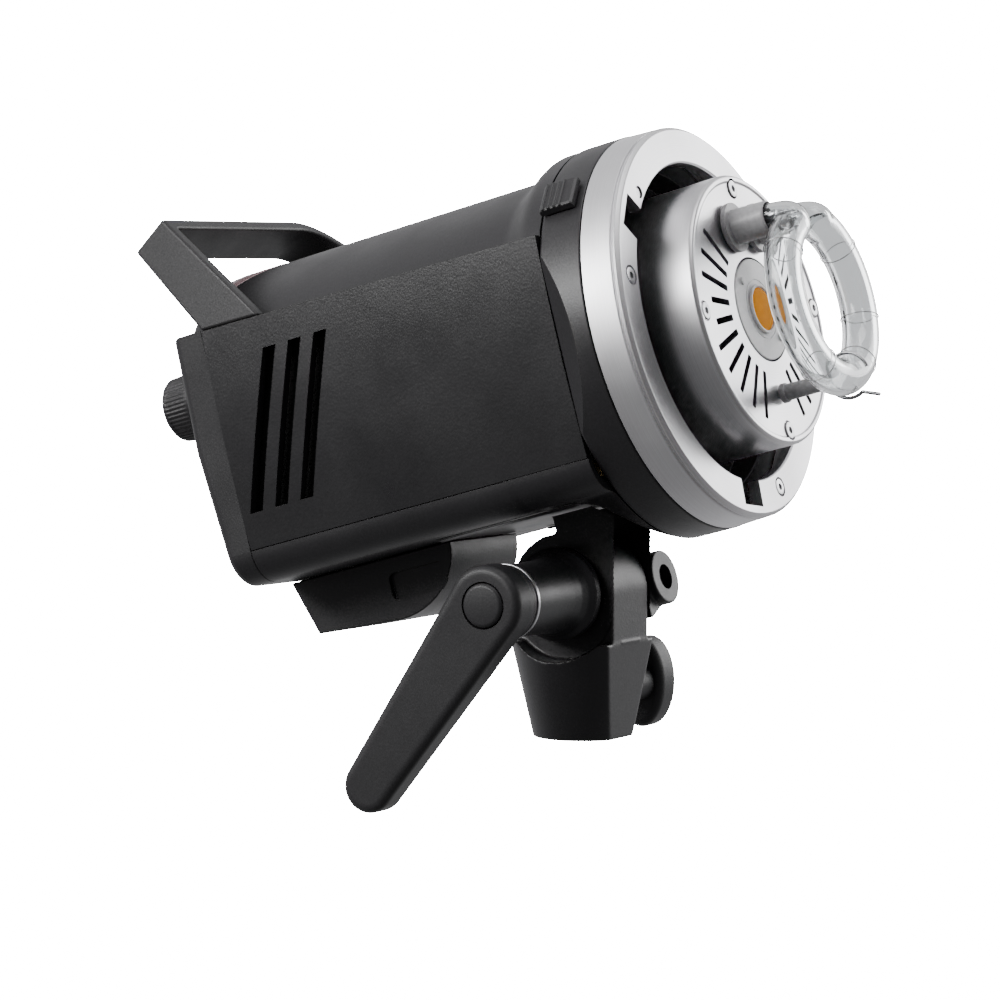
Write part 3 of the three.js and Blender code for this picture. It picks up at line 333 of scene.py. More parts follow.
def node_of(tree, kind, links=(), **values):
    made = tree.nodes.new(kind)
    for key, value in values.items():
        if key in made.inputs:
            made.inputs[key].default_value = value
        else:
            setattr(made, key, value)
    for source, socket in links:
        tree.links.new(source, made.inputs[socket])
    return made


def varied(tree, source, low, high):
    """A number that wanders from low to high with a noise."""
    spread = node_of(tree, "ShaderNodeMapRange", [(source, "Value")])
    spread.inputs["From Min"].default_value, spread.inputs["From Max"].default_value = 0.3, 0.7
    spread.inputs["To Min"].default_value, spread.inputs["To Max"].default_value = low, high
    return spread.outputs["Result"]


def toned(tree, source, dark, light):
    mix = node_of(tree, "ShaderNodeMix", data_type="RGBA")
    tree.links.new(varied(tree, source, 0, 1), mix.inputs["Factor"])
    mix.inputs[6].default_value, mix.inputs[7].default_value = (*dark, 1), (*light, 1)
    return mix.outputs[2]


def shaded(colour, share):
    return tuple(c * share for c in colour)


def surfaced(tree, shader, height, strength, depth, sheen, low, high):
    """Gives a shader its relief and its wandering sheen."""
    bump = node_of(tree, "ShaderNodeBump", [(height, "Height")], Strength=strength, Distance=depth)
    tree.links.new(bump.outputs["Normal"], shader.inputs["Normal"])
    tree.links.new(varied(tree, sheen, low, high), shader.inputs["Roughness"])


def moulded(name, colour, roughness, grain=0.25, fine=1700, spread=0.06, specular=0.5):
    """Moulded plastic: fine spark grain, a slightly uneven sheen, and faint handling haze."""
    made, tree, shader = material_of(name, colour, roughness)
    shader.inputs["Specular IOR Level"].default_value = specular
    where = node_of(tree, "ShaderNodeTexCoord").outputs["Object"]
    spark = node_of(tree, "ShaderNodeTexVoronoi", [(where, "Vector")], Scale=fine)
    dust = node_of(tree, "ShaderNodeTexNoise", [(where, "Vector")], Scale=fine * 0.6, Detail=3.0)
    haze = node_of(tree, "ShaderNodeTexNoise", [(where, "Vector")], Scale=38.0, Detail=4.0, Roughness=0.6)
    height = node_of(tree, "ShaderNodeMath", [(spark.outputs["Distance"], 0), (dust.outputs["Fac"], 1)])
    low, high = roughness - spread, roughness + spread
    surfaced(tree, shader, height.outputs[0], grain, FINE_RELIEF, haze.outputs["Fac"], low, high)
    tone = toned(tree, dust.outputs["Fac"], shaded(colour, 0.86), shaded(colour, 1.16))
    tree.links.new(tone, shader.inputs["Base Color"])
    return made


def spun(name, colour, roughness, relief=0.1, fine=2600, spread=0.05, anisotropy=0.55):
    """Satin aluminium turned about the X axis: hair-fine rings and a soft bead-blasted grain."""
    made, tree, shader = material_of(name, colour, roughness, 1.0)
    where = node_of(tree, "ShaderNodeTexCoord").outputs["Object"]
    parts = node_of(tree, "ShaderNodeSeparateXYZ", [(where, "Vector")])
    across = node_of(tree, "ShaderNodeCombineXYZ", [(parts.outputs["Y"], "X"), (parts.outputs["Z"], "Y")])
    radius = node_of(tree, "ShaderNodeVectorMath", [(across.outputs[0], 0)], operation="LENGTH")
    line = node_of(tree, "ShaderNodeMath", [(radius.outputs["Value"], 0), (parts.outputs["X"], 1)])
    rings = node_of(tree, "ShaderNodeTexNoise", [(line.outputs[0], "W")], noise_dimensions="1D")
    rings.inputs["Scale"].default_value, rings.inputs["Detail"].default_value = fine, 2.0
    blast = node_of(tree, "ShaderNodeTexNoise", [(where, "Vector")], Scale=fine, Detail=1.0)
    haze = node_of(tree, "ShaderNodeTexNoise", [(where, "Vector")], Scale=30.0, Detail=3.0)
    height = node_of(tree, "ShaderNodeMath", [(rings.outputs["Fac"], 0), (blast.outputs["Fac"], 1)])
    low, high = roughness - spread, roughness + spread
    surfaced(tree, shader, height.outputs[0], relief, METAL_RELIEF, haze.outputs["Fac"], low, high)
    shader.inputs["Anisotropic"].default_value = anisotropy
    tangent = node_of(tree, "ShaderNodeTangent", direction_type="RADIAL", axis="X")
    tree.links.new(tangent.outputs[0], shader.inputs["Tangent"])
    tone = toned(tree, rings.outputs["Fac"], shaded(colour, 0.95), shaded(colour, 1.02))
    tree.links.new(tone, shader.inputs["Base Color"])
    return made


def grained(name, colour, roughness, metallic=0.0, fine=900, relief=0.1, spread=0.08, contrast=0.1,
            specular=0.5):
    """A plain finish with a fine surface grain and uneven sheen."""
    made, tree, shader = material_of(name, colour, roughness, metallic)
    shader.inputs["Specular IOR Level"].default_value = specular
    where = node_of(tree, "ShaderNodeTexCoord").outputs["Object"]
    grit = node_of(tree, "ShaderNodeTexNoise", [(where, "Vector")], Scale=fine, Detail=4.0)
    haze = node_of(tree, "ShaderNodeTexNoise", [(where, "Vector")], Scale=fine / 12, Detail=3.0)
    low, high = max(roughness - spread, 0.02), roughness + spread
    surfaced(tree, shader, grit.outputs["Fac"], relief, FINE_RELIEF, haze.outputs["Fac"], low, high)
    tone = toned(tree, grit.outputs["Fac"], shaded(colour, 1 - contrast), shaded(colour, 1 + contrast))
    tree.links.new(tone, shader.inputs["Base Color"])
    return made


def glassy(name, colour, roughness, smear=0.02):
    """Clear glass with faint drawn ripples."""
    made, tree, shader = material_of(name, colour, roughness)
    shader.inputs["Transmission Weight"].default_value = 1.0
    shader.inputs["IOR"].default_value = 1.47
    where = node_of(tree, "ShaderNodeTexCoord").outputs["Object"]
    ripple = node_of(tree, "ShaderNodeTexNoise", [(where, "Vector")], Scale=160.0, Detail=2.0)
    ripples = ripple.outputs["Fac"]
    surfaced(tree, shader, ripples, smear, GLASS_RELIEF, ripples, roughness, roughness + 0.03)
    return made


LOOKS = {
    "black_plastic": moulded("black_plastic", (0.0145, 0.0138, 0.0154), 0.43),
    "side_panel_plastic": moulded("side_panel_plastic", (0.013, 0.0124, 0.0138), 0.31, grain=0.26,
                                  fine=1300, spread=0.04),
    "dark_grey_plastic": moulded("dark_grey_plastic", (0.0175, 0.0168, 0.0184), 0.47, grain=0.18,
                                 specular=0.4),
    "satin_metal": spun("satin_metal", (0.72, 0.715, 0.73), 0.4, relief=0.06),
    "drum_metal": spun("drum_metal", (0.69, 0.685, 0.70), 0.34, relief=0.08),
    "steel": grained("steel", (0.52, 0.52, 0.53), 0.3, 1.0, relief=0.05),
    "brass": grained("brass", (0.62, 0.44, 0.2), 0.32, 1.0, relief=0.05),
    "clear_glass": glassy("clear_glass", (0.93, 0.945, 0.95), 0.02),
    "dark_glass": grained("dark_glass", (0.012, 0.014, 0.018), 0.1, relief=0.02, spread=0.03),
    "red_lens": grained("red_lens", (0.40, 0.27, 0.285), 0.24, relief=0.02, contrast=0.04),
    "ceramic": grained("ceramic", (0.33, 0.326, 0.336), 0.36, relief=0.06),
    "white_board": grained("white_board", (0.86, 0.86, 0.87), 0.45, relief=0.05, contrast=0.03),
    "amber_phosphor": grained("amber_phosphor", (1.0, 0.36, 0.004), 0.75, fine=2400, relief=0.2,
                              contrast=0.05, specular=0.1),
    "circuit_board": grained("circuit_board", (0.02, 0.13, 0.07), 0.4, fine=500, contrast=0.3),
    "friction_pad": grained("friction_pad", (0.07, 0.055, 0.045), 0.85, fine=1400, relief=0.5, contrast=0.25),
    "capacitor_sleeve": grained("capacitor_sleeve", (0.02, 0.04, 0.12), 0.32, relief=0.05),
    "soft_key": grained("soft_key", (0.09, 0.09, 0.095), 0.62, fine=1600, relief=0.2),
}

# A near-black look with a fine grain, for the sheets behind the vent slots. It is painted shade standing in for
# the dark inside of the casing.
VENT_SHADE_SHEET = grained("painted_vent_shade", (0.004, 0.004, 0.0045), 0.9, fine=1800, relief=0.4, contrast=0.3)


def piece(name, obj, body, slot, extra=False, **shade):
    """Finishes a piece, which stands for the node of its name unless it is an extra."""
    obj.name = name
    return finished(obj, body, slot, LOOKS[slot], () if extra else [name], **shade)


# ---- Head: casing ----
def eased(t):
    t = min(max(t, 0), 1)
    return t * t * (3 - 2 * t)


def over(a, b, blend):
    """The larger of two lengths, with a soft turn between them."""
    return 0.5 * (a + b + math.sqrt((a - b) ** 2 + blend**2)) - blend * 0.25


def climb(x):
    """How far the ledge stands above its front end."""
    return LEDGE_RISE * (BODY["front"] - x) / (BODY["front"] - BODY["rear"])


def chin_lift(x):
    """How far the casing's underside has flared at a distance along the axis, as a share."""
    share = (x - CHIN["start"]) / CHIN["length"]
    return CHIN["lean"] * eased(share) + (1 - CHIN["lean"]) * max(share, 0)


def body_section(x, inset=0.0, recess=True):
    """The casing's outline at a distance along the optical axis."""
    dome = BODY["dome"] - inset + 5.3 * eased((x + 44.5) / 12)
    ledge, bottom = BODY["ledge"] - inset + climb(x), BODY["bottom"] + inset
    half, corner = BODY["half"] - inset, BODY["corner"] - inset
    inner = half - PANEL["thickness"] - 0.3 if recess else half
    low = -BODY["ledge"]
    start = math.degrees(math.asin(ledge / dome))
    upper = arc((0, 0), dome, start, 180 - start, 96)
    upper += [(-inner - 0.01, ledge), (-inner - 0.01, 0), (-inner - 0.01, low)]
    corner_left = arc((-half + corner, bottom + corner), corner, 180, 270, 14)
    flat = [(-half + corner + 2 * (half - corner) * i / 32, bottom) for i in range(1, 32)]
    corner_right = arc((half - corner, bottom + corner), corner, 270, 360, 14)
    flare = 45.5 + 17.5 * chin_lift(x) - inset
    lower = []
    for y, z in corner_left + flat + corner_right:
        r = math.hypot(y, z)
        reach = over(r, flare, 1.2) if x > CHIN["start"] else r
        lower.append((y * reach / r, z * reach / r))
    return upper + lower + [(inner + 0.01, low), (inner + 0.01, 0), (inner + 0.01, ledge)]


def stations(low, high, step):
    count = max(1, round((high - low) / step))
    return [low + (high - low) * i / count for i in range(count + 1)]


def sensor_shape(outer, inner, grow=0.0):
    """The sensor window's plate, which widens towards the rear."""
    rings = []
    for k in range(9):
        x = SENSOR["front"] + grow - (SENSOR["length"] + 2 * grow) * k / 8
        half = SENSOR["narrow"] + SENSOR["widening"] * k / 8 + grow
        outline = arc((0, 0), outer, 90 - half, 90 + half, 28) + arc((0, 0), inner, 90 + half, 90 - half, 28)
        rings.append([(x, y, z) for y, z in outline])
    return loft(rings)


def housing():
    places = stations(BODY["rear"], -62, 18) + stations(-60, BODY["front"], 1.1)
    outer = [[(x, y, z) for y, z in body_section(x)] for x in places]
    inner = [[(x, y, z) for y, z in body_section(x, 2.6)] for x in reversed(places)]
    shell = loft(outer + inner + [outer[0]], capped=False)
    made = object_of(shell, "main_housing", OPTICS)
    opening = [(-150, -25), (-118, -25), (-100, 28), (-133, 28)]
    windows = [prism(opening, low, high, "Y") for low, high in ((-70, -40), (40, 70))]
    combine(made, windows + [sensor_shape(60, 55.4, 0.3)])
    softened(made, 0.35, 2, 50)
    piece("main_housing", made, "head", "black_plastic")
    # Near-black sheets across the vent windows: painted shade where the inside of the casing shows through the
    # slots.
    for name, side in (("right", -1), ("left", 1)):
        sheet = box((-149, -101), sorted((side * 49, side * 49.6)), (-27, 30))
        finished(object_of(sheet, "vent_shade_sheet_" + name, OPTICS), "head", "black_plastic", VENT_SHADE_SHEET)


def vent_cutters():
    cutters = []
    for i in range(3):
        shift = i * VENT["pitch"]
        low, high = VENT["bottom_x"] + shift, VENT["top_x"] + shift
        outline = [(low, VENT["bottom_z"]), (low + VENT["width"], VENT["bottom_z"])]
        outline += [(high + VENT["width"], VENT["top_z"]), (high, VENT["top_z"])]
        cutters.append(prism(outline, -70, 70, "Y"))
    return cutters


def side_panel(name, side):
    crown, top = PANEL["crown"], PANEL["top"]
    bow = (crown**2 + top**2) / (2 * crown)
    reach = math.degrees(math.asin(top / bow))
    face = arc((BODY["half"] + crown - bow, 0), bow, -reach, reach, 14)
    inside = BODY["half"] - PANEL["thickness"]
    outline = face + [(inside, top), (inside, -top)]
    plate = prism([(side * y, z) for y, z in outline], PANEL["rear"], PANEL["front"], "X")
    for vertex in plate.verts:
        if vertex.co.z > 0:
            vertex.co.z *= 1 + climb(vertex.co.x) / top
    made = object_of(plate, name, OPTICS)
    combine(made, vent_cutters())
    softened(made, 0.5, 3, 30)
    return piece(name, made, "head", "side_panel_plastic")


def rear_cover():
    rim, rear, rows = COVER["rim"], BODY["rear"], []

    def cap_x(y, z):
        crown = COVER["crown"] * (1 - (y * y + z * z) / 62**2)
        return COVER["edge"] - crown + COVER["slope"] * max(0, -z) / 45

    for x in (COVER["front"], COVER["front"] - 2.3):
        rows.append([(x, y, z) for y, z in body_section(rear, 0, False)])
    for k in range(9):
        turn = math.radians(90 * k / 8)
        ring = body_section(rear, rim * (1 - math.cos(turn)), False)
        rows.append([(cap_x(y, z) + rim * (1 - math.sin(turn)), y, z) for y, z in ring])
    edge = body_section(rear, rim, False)
    for k in range(1, 12):
        share = 1 - k / 12
        rows.append([(cap_x(y * share, z * share), y * share, z * share) for y, z in edge])
    made = object_of(loft(rows), "rear_cover", OPTICS)
    hollow = loft([[(x, y, z) for y, z in body_section(rear, 2.4, False)] for x in (-150, -161)])
    outlines = [rounded_box(9.6, 5.6, 1.5, (place, 1)) for place in KEY_PLACES.values()]
    outlines += [rounded_box(44.6, 20.6, 2, DISPLAY), rounded_box(13.8, 20.6, 1, ROCKER)]
    openings = [prism(outline, -175, -155, "X") for outline in outlines] + [sensor_shape(60, 55.4, 0.3)]
    ports = [rod(3.6, -175, -155, "X", (32, -26)), prism(rounded_box(9.6, 4, 1, (12, -26)), -175, -155, "X")]
    ports.append(rod(3.4, -175, -155, "X", DIAL["place"]))
    combine(made, [hollow] + openings + ports)
    return piece("rear_cover", made, "head", "black_plastic", crisp=30)


def sensor_window():
    made = object_of(sensor_shape(57.9, 55.7), "sensor_window", OPTICS)
    softened(made, 0.5, 3, 40)
    return piece("sensor_window", made, "head", "red_lens")


def collar():
    front, rear, outer = COLLAR["front"], COLLAR["rear"], COLLAR["outer"]
    profile = [(front, 51.6), (front, outer), (rear + 0.8, outer), (rear, outer - 0.8), (rear, 46)]
    profile += [(-22, 46), (-22, 51.6)]
    made = object_of(turned(rounded_profile(profile, 0.5), 160), "front_collar", OPTICS)
    slope = math.tan(math.radians(COLLAR["slope"]))
    flats = []
    for side in (-1, 1):
        line = [(x, side * (COLLAR["flat"] + (x - rear) * slope)) for x in (-33, -8)]
        flats.append(prism(line + [(-8, side * 95), (-33, side * 95)], -90, 90, "Z"))
    combine(made, flats)
    softened(made, 0.4, 2, 25)
    slot = about_axis(box((-26.3, -16), (-3, 3), (47, 70)), SLIDER["angle"])
    room = about_axis(box((-26.3, -16), (-5.5, 5.5), (47, 57.5)), LOCK_PIN["angle"])
    combine(made, [slot, room])
    return piece("front_collar", made, "head", "black_plastic")


def bayonet_ring():
    outer, lip, depth, plate = RING["outer"], RING["lip"], RING["depth"], RING["plate"]
    groove = [(-1.6, outer + 0.05), (-1.8, outer - 0.75), (-2.5, outer - 0.75), (-2.7, outer + 0.1)]
    profile = [(0, RING["opening"] + 0.5), (0, outer - 1.1), (-1.1, outer)] + groove
    profile += [(-depth, outer + lip), (-depth, RING["cavity"]), (-plate, RING["cavity"])]
    profile += [(-plate, RING["opening"]), (-0.5, RING["opening"])]
    made = object_of(turned(rounded_profile(profile, 0.3, 3), 192), "bayonet_ring", OPTICS)
    cutters = [about_axis(box((-5, 1), (-6, 6), (47, 59)), angle) for angle in NOTCH_ANGLES]
    place, angles = (0, RING_SCREW["radius"]), RING_SCREW["angles"]
    cutters += [about_axis(rod(1.7, -5, 1, "X", place, 24), angle) for angle in angles]
    cutters += [about_axis(rod(3.15, -1.2, 1, "X", place, 40), angle) for angle in angles]
    cutters.append(about_axis(rod(2.0, -5, 1, "X", (0, LOCK_PIN["radius"]), 24), LOCK_PIN["angle"]))
    combine(made, cutters)
    return piece("bayonet_ring", made, "head", "satin_metal", crisp=30)


def screw(name, x, angle, sizes):
    """A button-head screw with a hexagon socket, pointing back along the optical axis."""
    head, length, radius = sizes["head"], sizes["length"], sizes["radius"]
    profile = [(x + 1.05, 0), (x + 1.05, head * 0.86), (x + 0.95, head * 0.96), (x + 0.7, head), (x, head)]
    profile += [(x, 1.3), (x - length, 1.3), (x - length, 0)]
    shape = turned(profile, 40)
    shape.transform(Matrix.Translation((0, 0, radius)))
    made = object_of(about_axis(shape, angle), name, OPTICS)
    socket = rod(head * 0.46, x + 0.3, x + 2, "X", (0, radius), 6)
    combine(made, [about_axis(socket, angle)])
    return piece(name, made, "head", "steel", crisp=30)


def release_slider():
    rear, front, half, angle = SLIDER["rear"], SLIDER["front"], SLIDER["half"], SLIDER["angle"]
    base, top = SLIDER["base"], SLIDER["top"]
    rows = []
    for i in range(81):
        x = rear + (front - rear) * i / 80
        ribbed = 0.55 * max(0, math.sin((x - rear - 1) * math.pi)) if 1 < x - rear < 9 else 0
        edge = 0.6 * max(0, 1 - min(x - rear, front - x) / 0.8)
        high = top - edge + ribbed
        right = [(x, half, base), (x, half, high - 0.5), (x, half - 0.6, high)]
        rows.append([(x, -half, base)] + right + [(x, 0.6 - half, high), (x, -half, high - 0.5)])
    made = object_of(about_axis(loft(rows), angle), "release_slider", OPTICS)
    combine(made, [about_axis(box((-21, -18), (-2.4, 2.4), (57.2, 64.5)), angle)], "UNION")
    return piece("release_slider", made, "release", "black_plastic", crisp=35)


# ---- Head: lamp ----
def drum_slots():
    cutters = []
    levels = [6.2, 18.6, 31, 43.4]
    for side in (-1, 1):
        for level in levels + [-v for v in levels] + [-55.8, -68.2]:
            reach = 32.7 if abs(level) < 10 else 36.8
            bar = prism(rounded_box(2, reach - 21, 0.45, (0, (reach + 21) / 2), 3), 8, 18, "X")
            cutters.append(about_axis(bar, level if side < 0 else 180 - level))
    return cutters


def lamp_drum():
    face, radius, wall, rear = DRUM["face"], DRUM["radius"], DRUM["wall"], DRUM["rear"]
    rim = [(face - 0.55, radius - 2.6), (face - 0.05, radius - 2.0), (face - 0.05, radius - 1.0)]
    rim += [(face - 0.4, radius - 0.4), (face - 1.2, radius)]
    inside = face - wall - 0.4
    profile = [(face - 0.4, 16.6)] + rim + [(rear, radius), (rear, radius - wall), (inside, radius - wall)]
    profile += [(inside, 16.6)]
    made = object_of(turned(rounded_profile(profile, 0.25, 3), 192), "lamp_drum", OPTICS)
    holes = [rod(5.7, 5, 20, "X", (side * LEG["y"], LEG["z"]), 48) for side in (-1, 1)]
    place, angles = (0, FACE_SCREW["radius"]), FACE_SCREW["angles"]
    holes += [about_axis(rod(1.6, 5, 20, "X", place, 24), angle) for angle in angles]
    holes += [about_axis(rod(3.25, face - 1.15, 20, "X", place, 40), angle) for angle in angles]
    holes.append(rod(1.8, 5, 20, "X", (0, POST_Z), 24))
    combine(made, drum_slots() + holes)
    return piece("lamp_drum", made, "head", "drum_metal", crisp=30)


def led():
    disc = turned(rounded_profile([(13.1, 0), (14.2, 0), (14.2, 16.1), (13.1, 16.1)], 0.4), 96)
    plate = object_of(disc, "led_plate", OPTICS)
    groove = turned([(13.9, 9.2), (15, 9.2), (15, 9.6), (13.9, 9.6)], 96)
    combine(plate, [groove])
    studs = [turned(rounded_profile([(14, 0), (14.9, 0), (14.9, 1.3), (14, 1.3)], 0.2), 24) for _ in range(2)]
    for stud, (y, z) in zip(studs, ((-9, 9), (9, -9))):
        stud.transform(Matrix.Translation((0, y, z)))
    combine(plate, studs, "UNION")
    piece("led_plate", plate, "head", "white_board", crisp=30)
    crown = [(15.15, 0), (15.12, 3), (15.05, 5.2), (14.9, 6.4), (14.7, 6.8)]
    chip = turned([(14.5, 0)] + crown + [(14.5, 6.8)], 64)
    piece("led_chip", object_of(chip, "led_chip", OPTICS), "head", "amber_phosphor")
    dam = turned(rounded_profile([(14.45, 7.0), (15.2, 7.0), (15.2, 7.9), (14.45, 7.9)], 0.25), 64)
    piece("led_dam", object_of(dam, "led_dam", OPTICS), "head", "white_board", extra=True)


def tube_path(steps=72):
    """Out along one leg, round the ring, and back along the other leg."""
    ring, plane, middle = TUBE["ring"], TUBE["plane"], TUBE["centre_z"]
    gap = 22  # half of the ring's opening, in degrees
    start, span = 90 + gap, 360 - 2 * gap
    around = []
    for i in range(steps + 1):
        angle = math.radians(start + span * i / steps)
        around.append(Vector((plane, ring * math.cos(angle), middle + ring * math.sin(angle))))
    leg_in = [Vector((x, -LEG["y"], LEG["z"])) for x in (16.6, 20, 24, 27)]
    bend = []
    for i in range(1, 9):
        t = i / 9
        corner = Vector((plane, -LEG["y"], LEG["z"] - 0.5))
        bend.append(leg_in[-1] * (1 - t) ** 2 + corner * 2 * t * (1 - t) + around[0] * t * t)
    first = leg_in + bend
    last = [Vector((p.x, -p.y, p.z)) for p in reversed(first)]
    return first + around + last


def flash_tube():
    path = tube_path()
    count = len(path) - 1
    legs = 12 / count

    def grow(low, high):
        """A radius that swells from the legs to the ring."""
        return lambda t: low + (high - low) * eased((min(t, 1 - t) - legs * 0.3) / (legs * 0.62))

    outer = swept(path, grow(LEG["radius"], TUBE["radius"]), 32)
    inner = swept(path[1:-1], grow(LEG["bore"], TUBE["bore"]), 24)
    made = object_of(outer, "flash_tube", OPTICS)
    combine(made, [inner])
    piece("flash_tube", made, "head", "clear_glass", crisp=60, weighted=False)
    bands = []
    for share in (0.2, 0.42, 0.58, 0.68, 0.8):
        index = round(share * count)
        centre, along = path[index], (path[index + 1] - path[index - 1]).normalized()
        side = along.orthogonal().normalized()
        other = along.cross(side)
        loop = []
        for k in range(40):
            t = 2 * math.pi * k / 40
            loop.append(centre + (side * math.cos(t) + other * math.sin(t)) * (TUBE["radius"] + 0.2))
        bands.append(swept(loop, 0.16, 8, closed=True))
    made = object_of(joined(bands), "trigger_wires", OPTICS)
    piece("trigger_wires", made, "head", "steel", extra=True, weighted=False)


def tube_socket(name, side):
    profile = [(6, 5.3), (14.7, 5.3), (14.7, 7.8), (16.3, 7.8), (16.3, 5.45), (27.5, 5.3)]
    profile += [(28, 5.0), (28, 4.7), (16.2, 4.7), (16.2, 2), (6, 2)]
    shape = turned(rounded_profile(profile, 0.25, 3), 64)
    shape.transform(Matrix.Translation((0, side * LEG["y"], LEG["z"])))
    return piece(name, object_of(shape, name, OPTICS), "head", "ceramic")


def electrode(name, side):
    profile = [(10, 0), (31, 0), (31, 1.2), (30.6, 1.7), (26, 1.7), (25.8, 0.6), (10, 0.6)]
    shape = turned(list(reversed(profile)), 32)
    shape.transform(Matrix.Translation((0, side * LEG["y"], LEG["z"])))
    return piece(name, object_of(shape, name, OPTICS), "head", "steel")


def tube_post():
    profile = [(5, 0), (28.9, 0), (28.9, 2.0), (28.4, 2.55), (16.5, 2.6), (16.2, 3.1)]
    profile += [(14.75, 3.1), (14.75, 1.5), (5, 1.5)]
    shape = turned(list(reversed(profile)), 48)
    shape.transform(Matrix.Translation((0, 0, POST_Z)))
    made = object_of(shape, "tube_post", OPTICS)
    return piece("tube_post", made, "head", "ceramic", crisp=30)


def tube_clip():
    y, loop = 5.2, 7.0
    z = TUBE["centre_z"] - math.sqrt(TUBE["ring"] ** 2 - y**2)
    path = []
    for i in range(61):
        angle = math.radians(10 + 290 * i / 60)
        path.append((TUBE["plane"] + loop * math.cos(angle), y, z + loop * math.sin(angle)))
    end = Vector(path[-1])
    tail = Vector((TUBE["plane"] + 9, y, z - 8.2))
    path += [tuple(end.lerp(tail, k / 5)) for k in range(1, 6)]
    made = object_of(swept(path, 0.6, 16), "tube_clip", OPTICS)
    return piece("tube_clip", made, "head", "steel", weighted=False)


# ---- Head: handle, power box, controls ----
def handle():
    """A flat strap bent into a bail: a tight corner on the right side and a wide one on the left."""
    foot_rear, foot_front = Vector((-154.2, 0, 37.3)), Vector((-131.8, 0, 36.9))
    top_front, top_rear = Vector((-161.5, 0, 76.5)), Vector((-174.4, 0, 68.7))
    rise, outer, thick, bend, near, taper = (top_front - foot_front).length, 52.2, 4.6, 20.0, 1.2, 0.067
    outside = [(-outer, 0), (-outer, rise * 0.5)] + arc((-outer + near, rise - near), near, 180, 90, 4)
    outside += [(0, rise)] + arc((outer - bend, rise - bend), bend, 90, 0, 12)
    outside += [(outer, rise * 0.5), (outer, 0)]
    inner_edge, inner_rise = outer - thick, rise - thick
    inside = [(-inner_edge, 0), (-inner_edge, rise * 0.5)]
    inside += [(-inner_edge, inner_rise)] * 5 + [(0, inner_rise)]
    inside += arc((outer - bend, rise - bend), bend - thick, 90, 0, 12)
    inside += [(inner_edge, rise * 0.5), (inner_edge, 0)]
    rows = []
    for (y0, h0), (y1, h1) in zip(outside, inside):
        row = []
        for y, h, low, high in ((y0, h0, foot_front, top_front), (y0, h0, foot_rear, top_rear),
                                (y1, h1, foot_rear, top_rear), (y1, h1, foot_front, top_front)):
            point = low.lerp(high, h / rise)
            row.append((point.x, y * (1 - taper * h / rise), point.z))
        rows.append(row)
    made = object_of(loft(rows), "carry_handle", OPTICS)
    softened(made, 1.1, 5, 40)
    return piece("carry_handle", made, "head", "dark_grey_plastic")


def power_box():
    turns = [math.pi / 2 * k / 12 for k in range(12)]
    nose = [(-124 + 24 * math.sin(t), -66.2 + 20.4 * (1 - math.cos(t))) for t in turns]
    outline = [(-161.2, -45.8), (-161.2, -46.4), (-155.3, -64)] + nose + [(-100, -45.8)]
    made = object_of(prism(outline, -22, 22, "Y"), "power_box", OPTICS)
    softened(made, 1.6, 4, 35)
    mouth = box((-170, -138), (-13.7, 13.7), (-62.2, -47.4))
    grip = prism(rounded_box(21, 9, 2.2, (-114.5, -55.5)), -24, -20.6, "Y")
    combine(made, [mouth, grip])
    return piece("power_box", made, "head", "black_plastic", crisp=35)


def power_inlet():
    outline = [(-161, -46.6), (-155.6, -63), (-136, -63), (-136, -46.6)]
    made = object_of(prism(outline, -13.4, 13.4, "Y"), "power_inlet", OPTICS)
    combine(made, [box((-170, -130), (-20, 20), (-47.7, -40)), box((-170, -130), (-20, 20), (-70, -61.9))])
    mouth = [(-11.8, -49.2), (11.8, -49.2), (11.8, -57.4), (8.8, -60.4), (-8.8, -60.4), (-11.8, -57.4)]
    combine(made, [prism(mouth, -170, -141, "X")])
    combine(made, [box((-153, -140), (y - 1, y + 1), (-57, -53)) for y in (-6, 0, 6)], "UNION")
    softened(made, 0.25, 2, 40)
    return piece("power_inlet", made, "head", "dark_grey_plastic")


def dial():
    front, radius, depth = DIAL["front"], DIAL["radius"], DIAL["depth"]
    start, end = front - 1.6, front - depth + 1.6  # the knurled band

    def knurl(x, t):
        grip = eased((start - x) / 1.0) * eased((x - end) / 0.8)
        return -0.28 * grip * (0.5 - 0.5 * math.cos(48 * t))

    sides = [(start, radius)] + [(start + (end - start) * k / 10, radius - 0.05 * k) for k in range(1, 11)]
    cap = front - depth
    profile = [(front, 0), (front, radius - 0.4), (front - 0.4, radius)] + sides
    profile += [(cap + 0.9, radius - 0.9), (cap + 0.25, radius - 1.7), (cap, radius - 2.6)]
    profile += [(cap, 3), (cap + 0.5, 2), (cap + 0.5, 0)]
    shape = turned(profile, 288, lambda x, t: knurl(x, t) if x < front - 1 else 0)
    shape = joined([shape, rod(3, front - 0.5, -155, "X")])
    shape.transform(Matrix.Translation((0, *DIAL["place"])))
    made = object_of(shape, "control_dial", OPTICS)
    return piece("control_dial", made, "dial", "dark_grey_plastic", crisp=35)


def keys():
    for name, place in KEY_PLACES.items():
        cap = prism(rounded_box(9, 5, 1.4, (place, 1)), -168.2, -160.6, "X")
        made = object_of(cap, name + "_button", OPTICS)
        softened(made, 0.7, 4, 40)
        stem = box((-161, -153.4), (place - 1.5, place + 1.5), (-0.5, 2.5))
        combine(made, [stem], "UNION")
        piece(name + "_button", made, name + "_key", "soft_key")


def rocker():
    place = OPTICS @ Matrix.Translation(Vector((-165.8, *ROCKER)) * MM)
    place = place @ Matrix.Rotation(math.radians(7), 4, "Y")
    bow = [(-2.6 + 1.2 * (1 - (z / 9.5) ** 2), z) for z in (9.5 - 19 * k / 16 for k in range(17))]
    outline = [(2.5, -9.5), (2.5, 9.5)] + bow
    made = object_of(prism(outline, -6.5, 6.5, "Y"), "power_rocker", place)
    softened(made, 0.4, 3, 40)
    return piece("power_rocker", made, "rocker", "dark_grey_plastic")


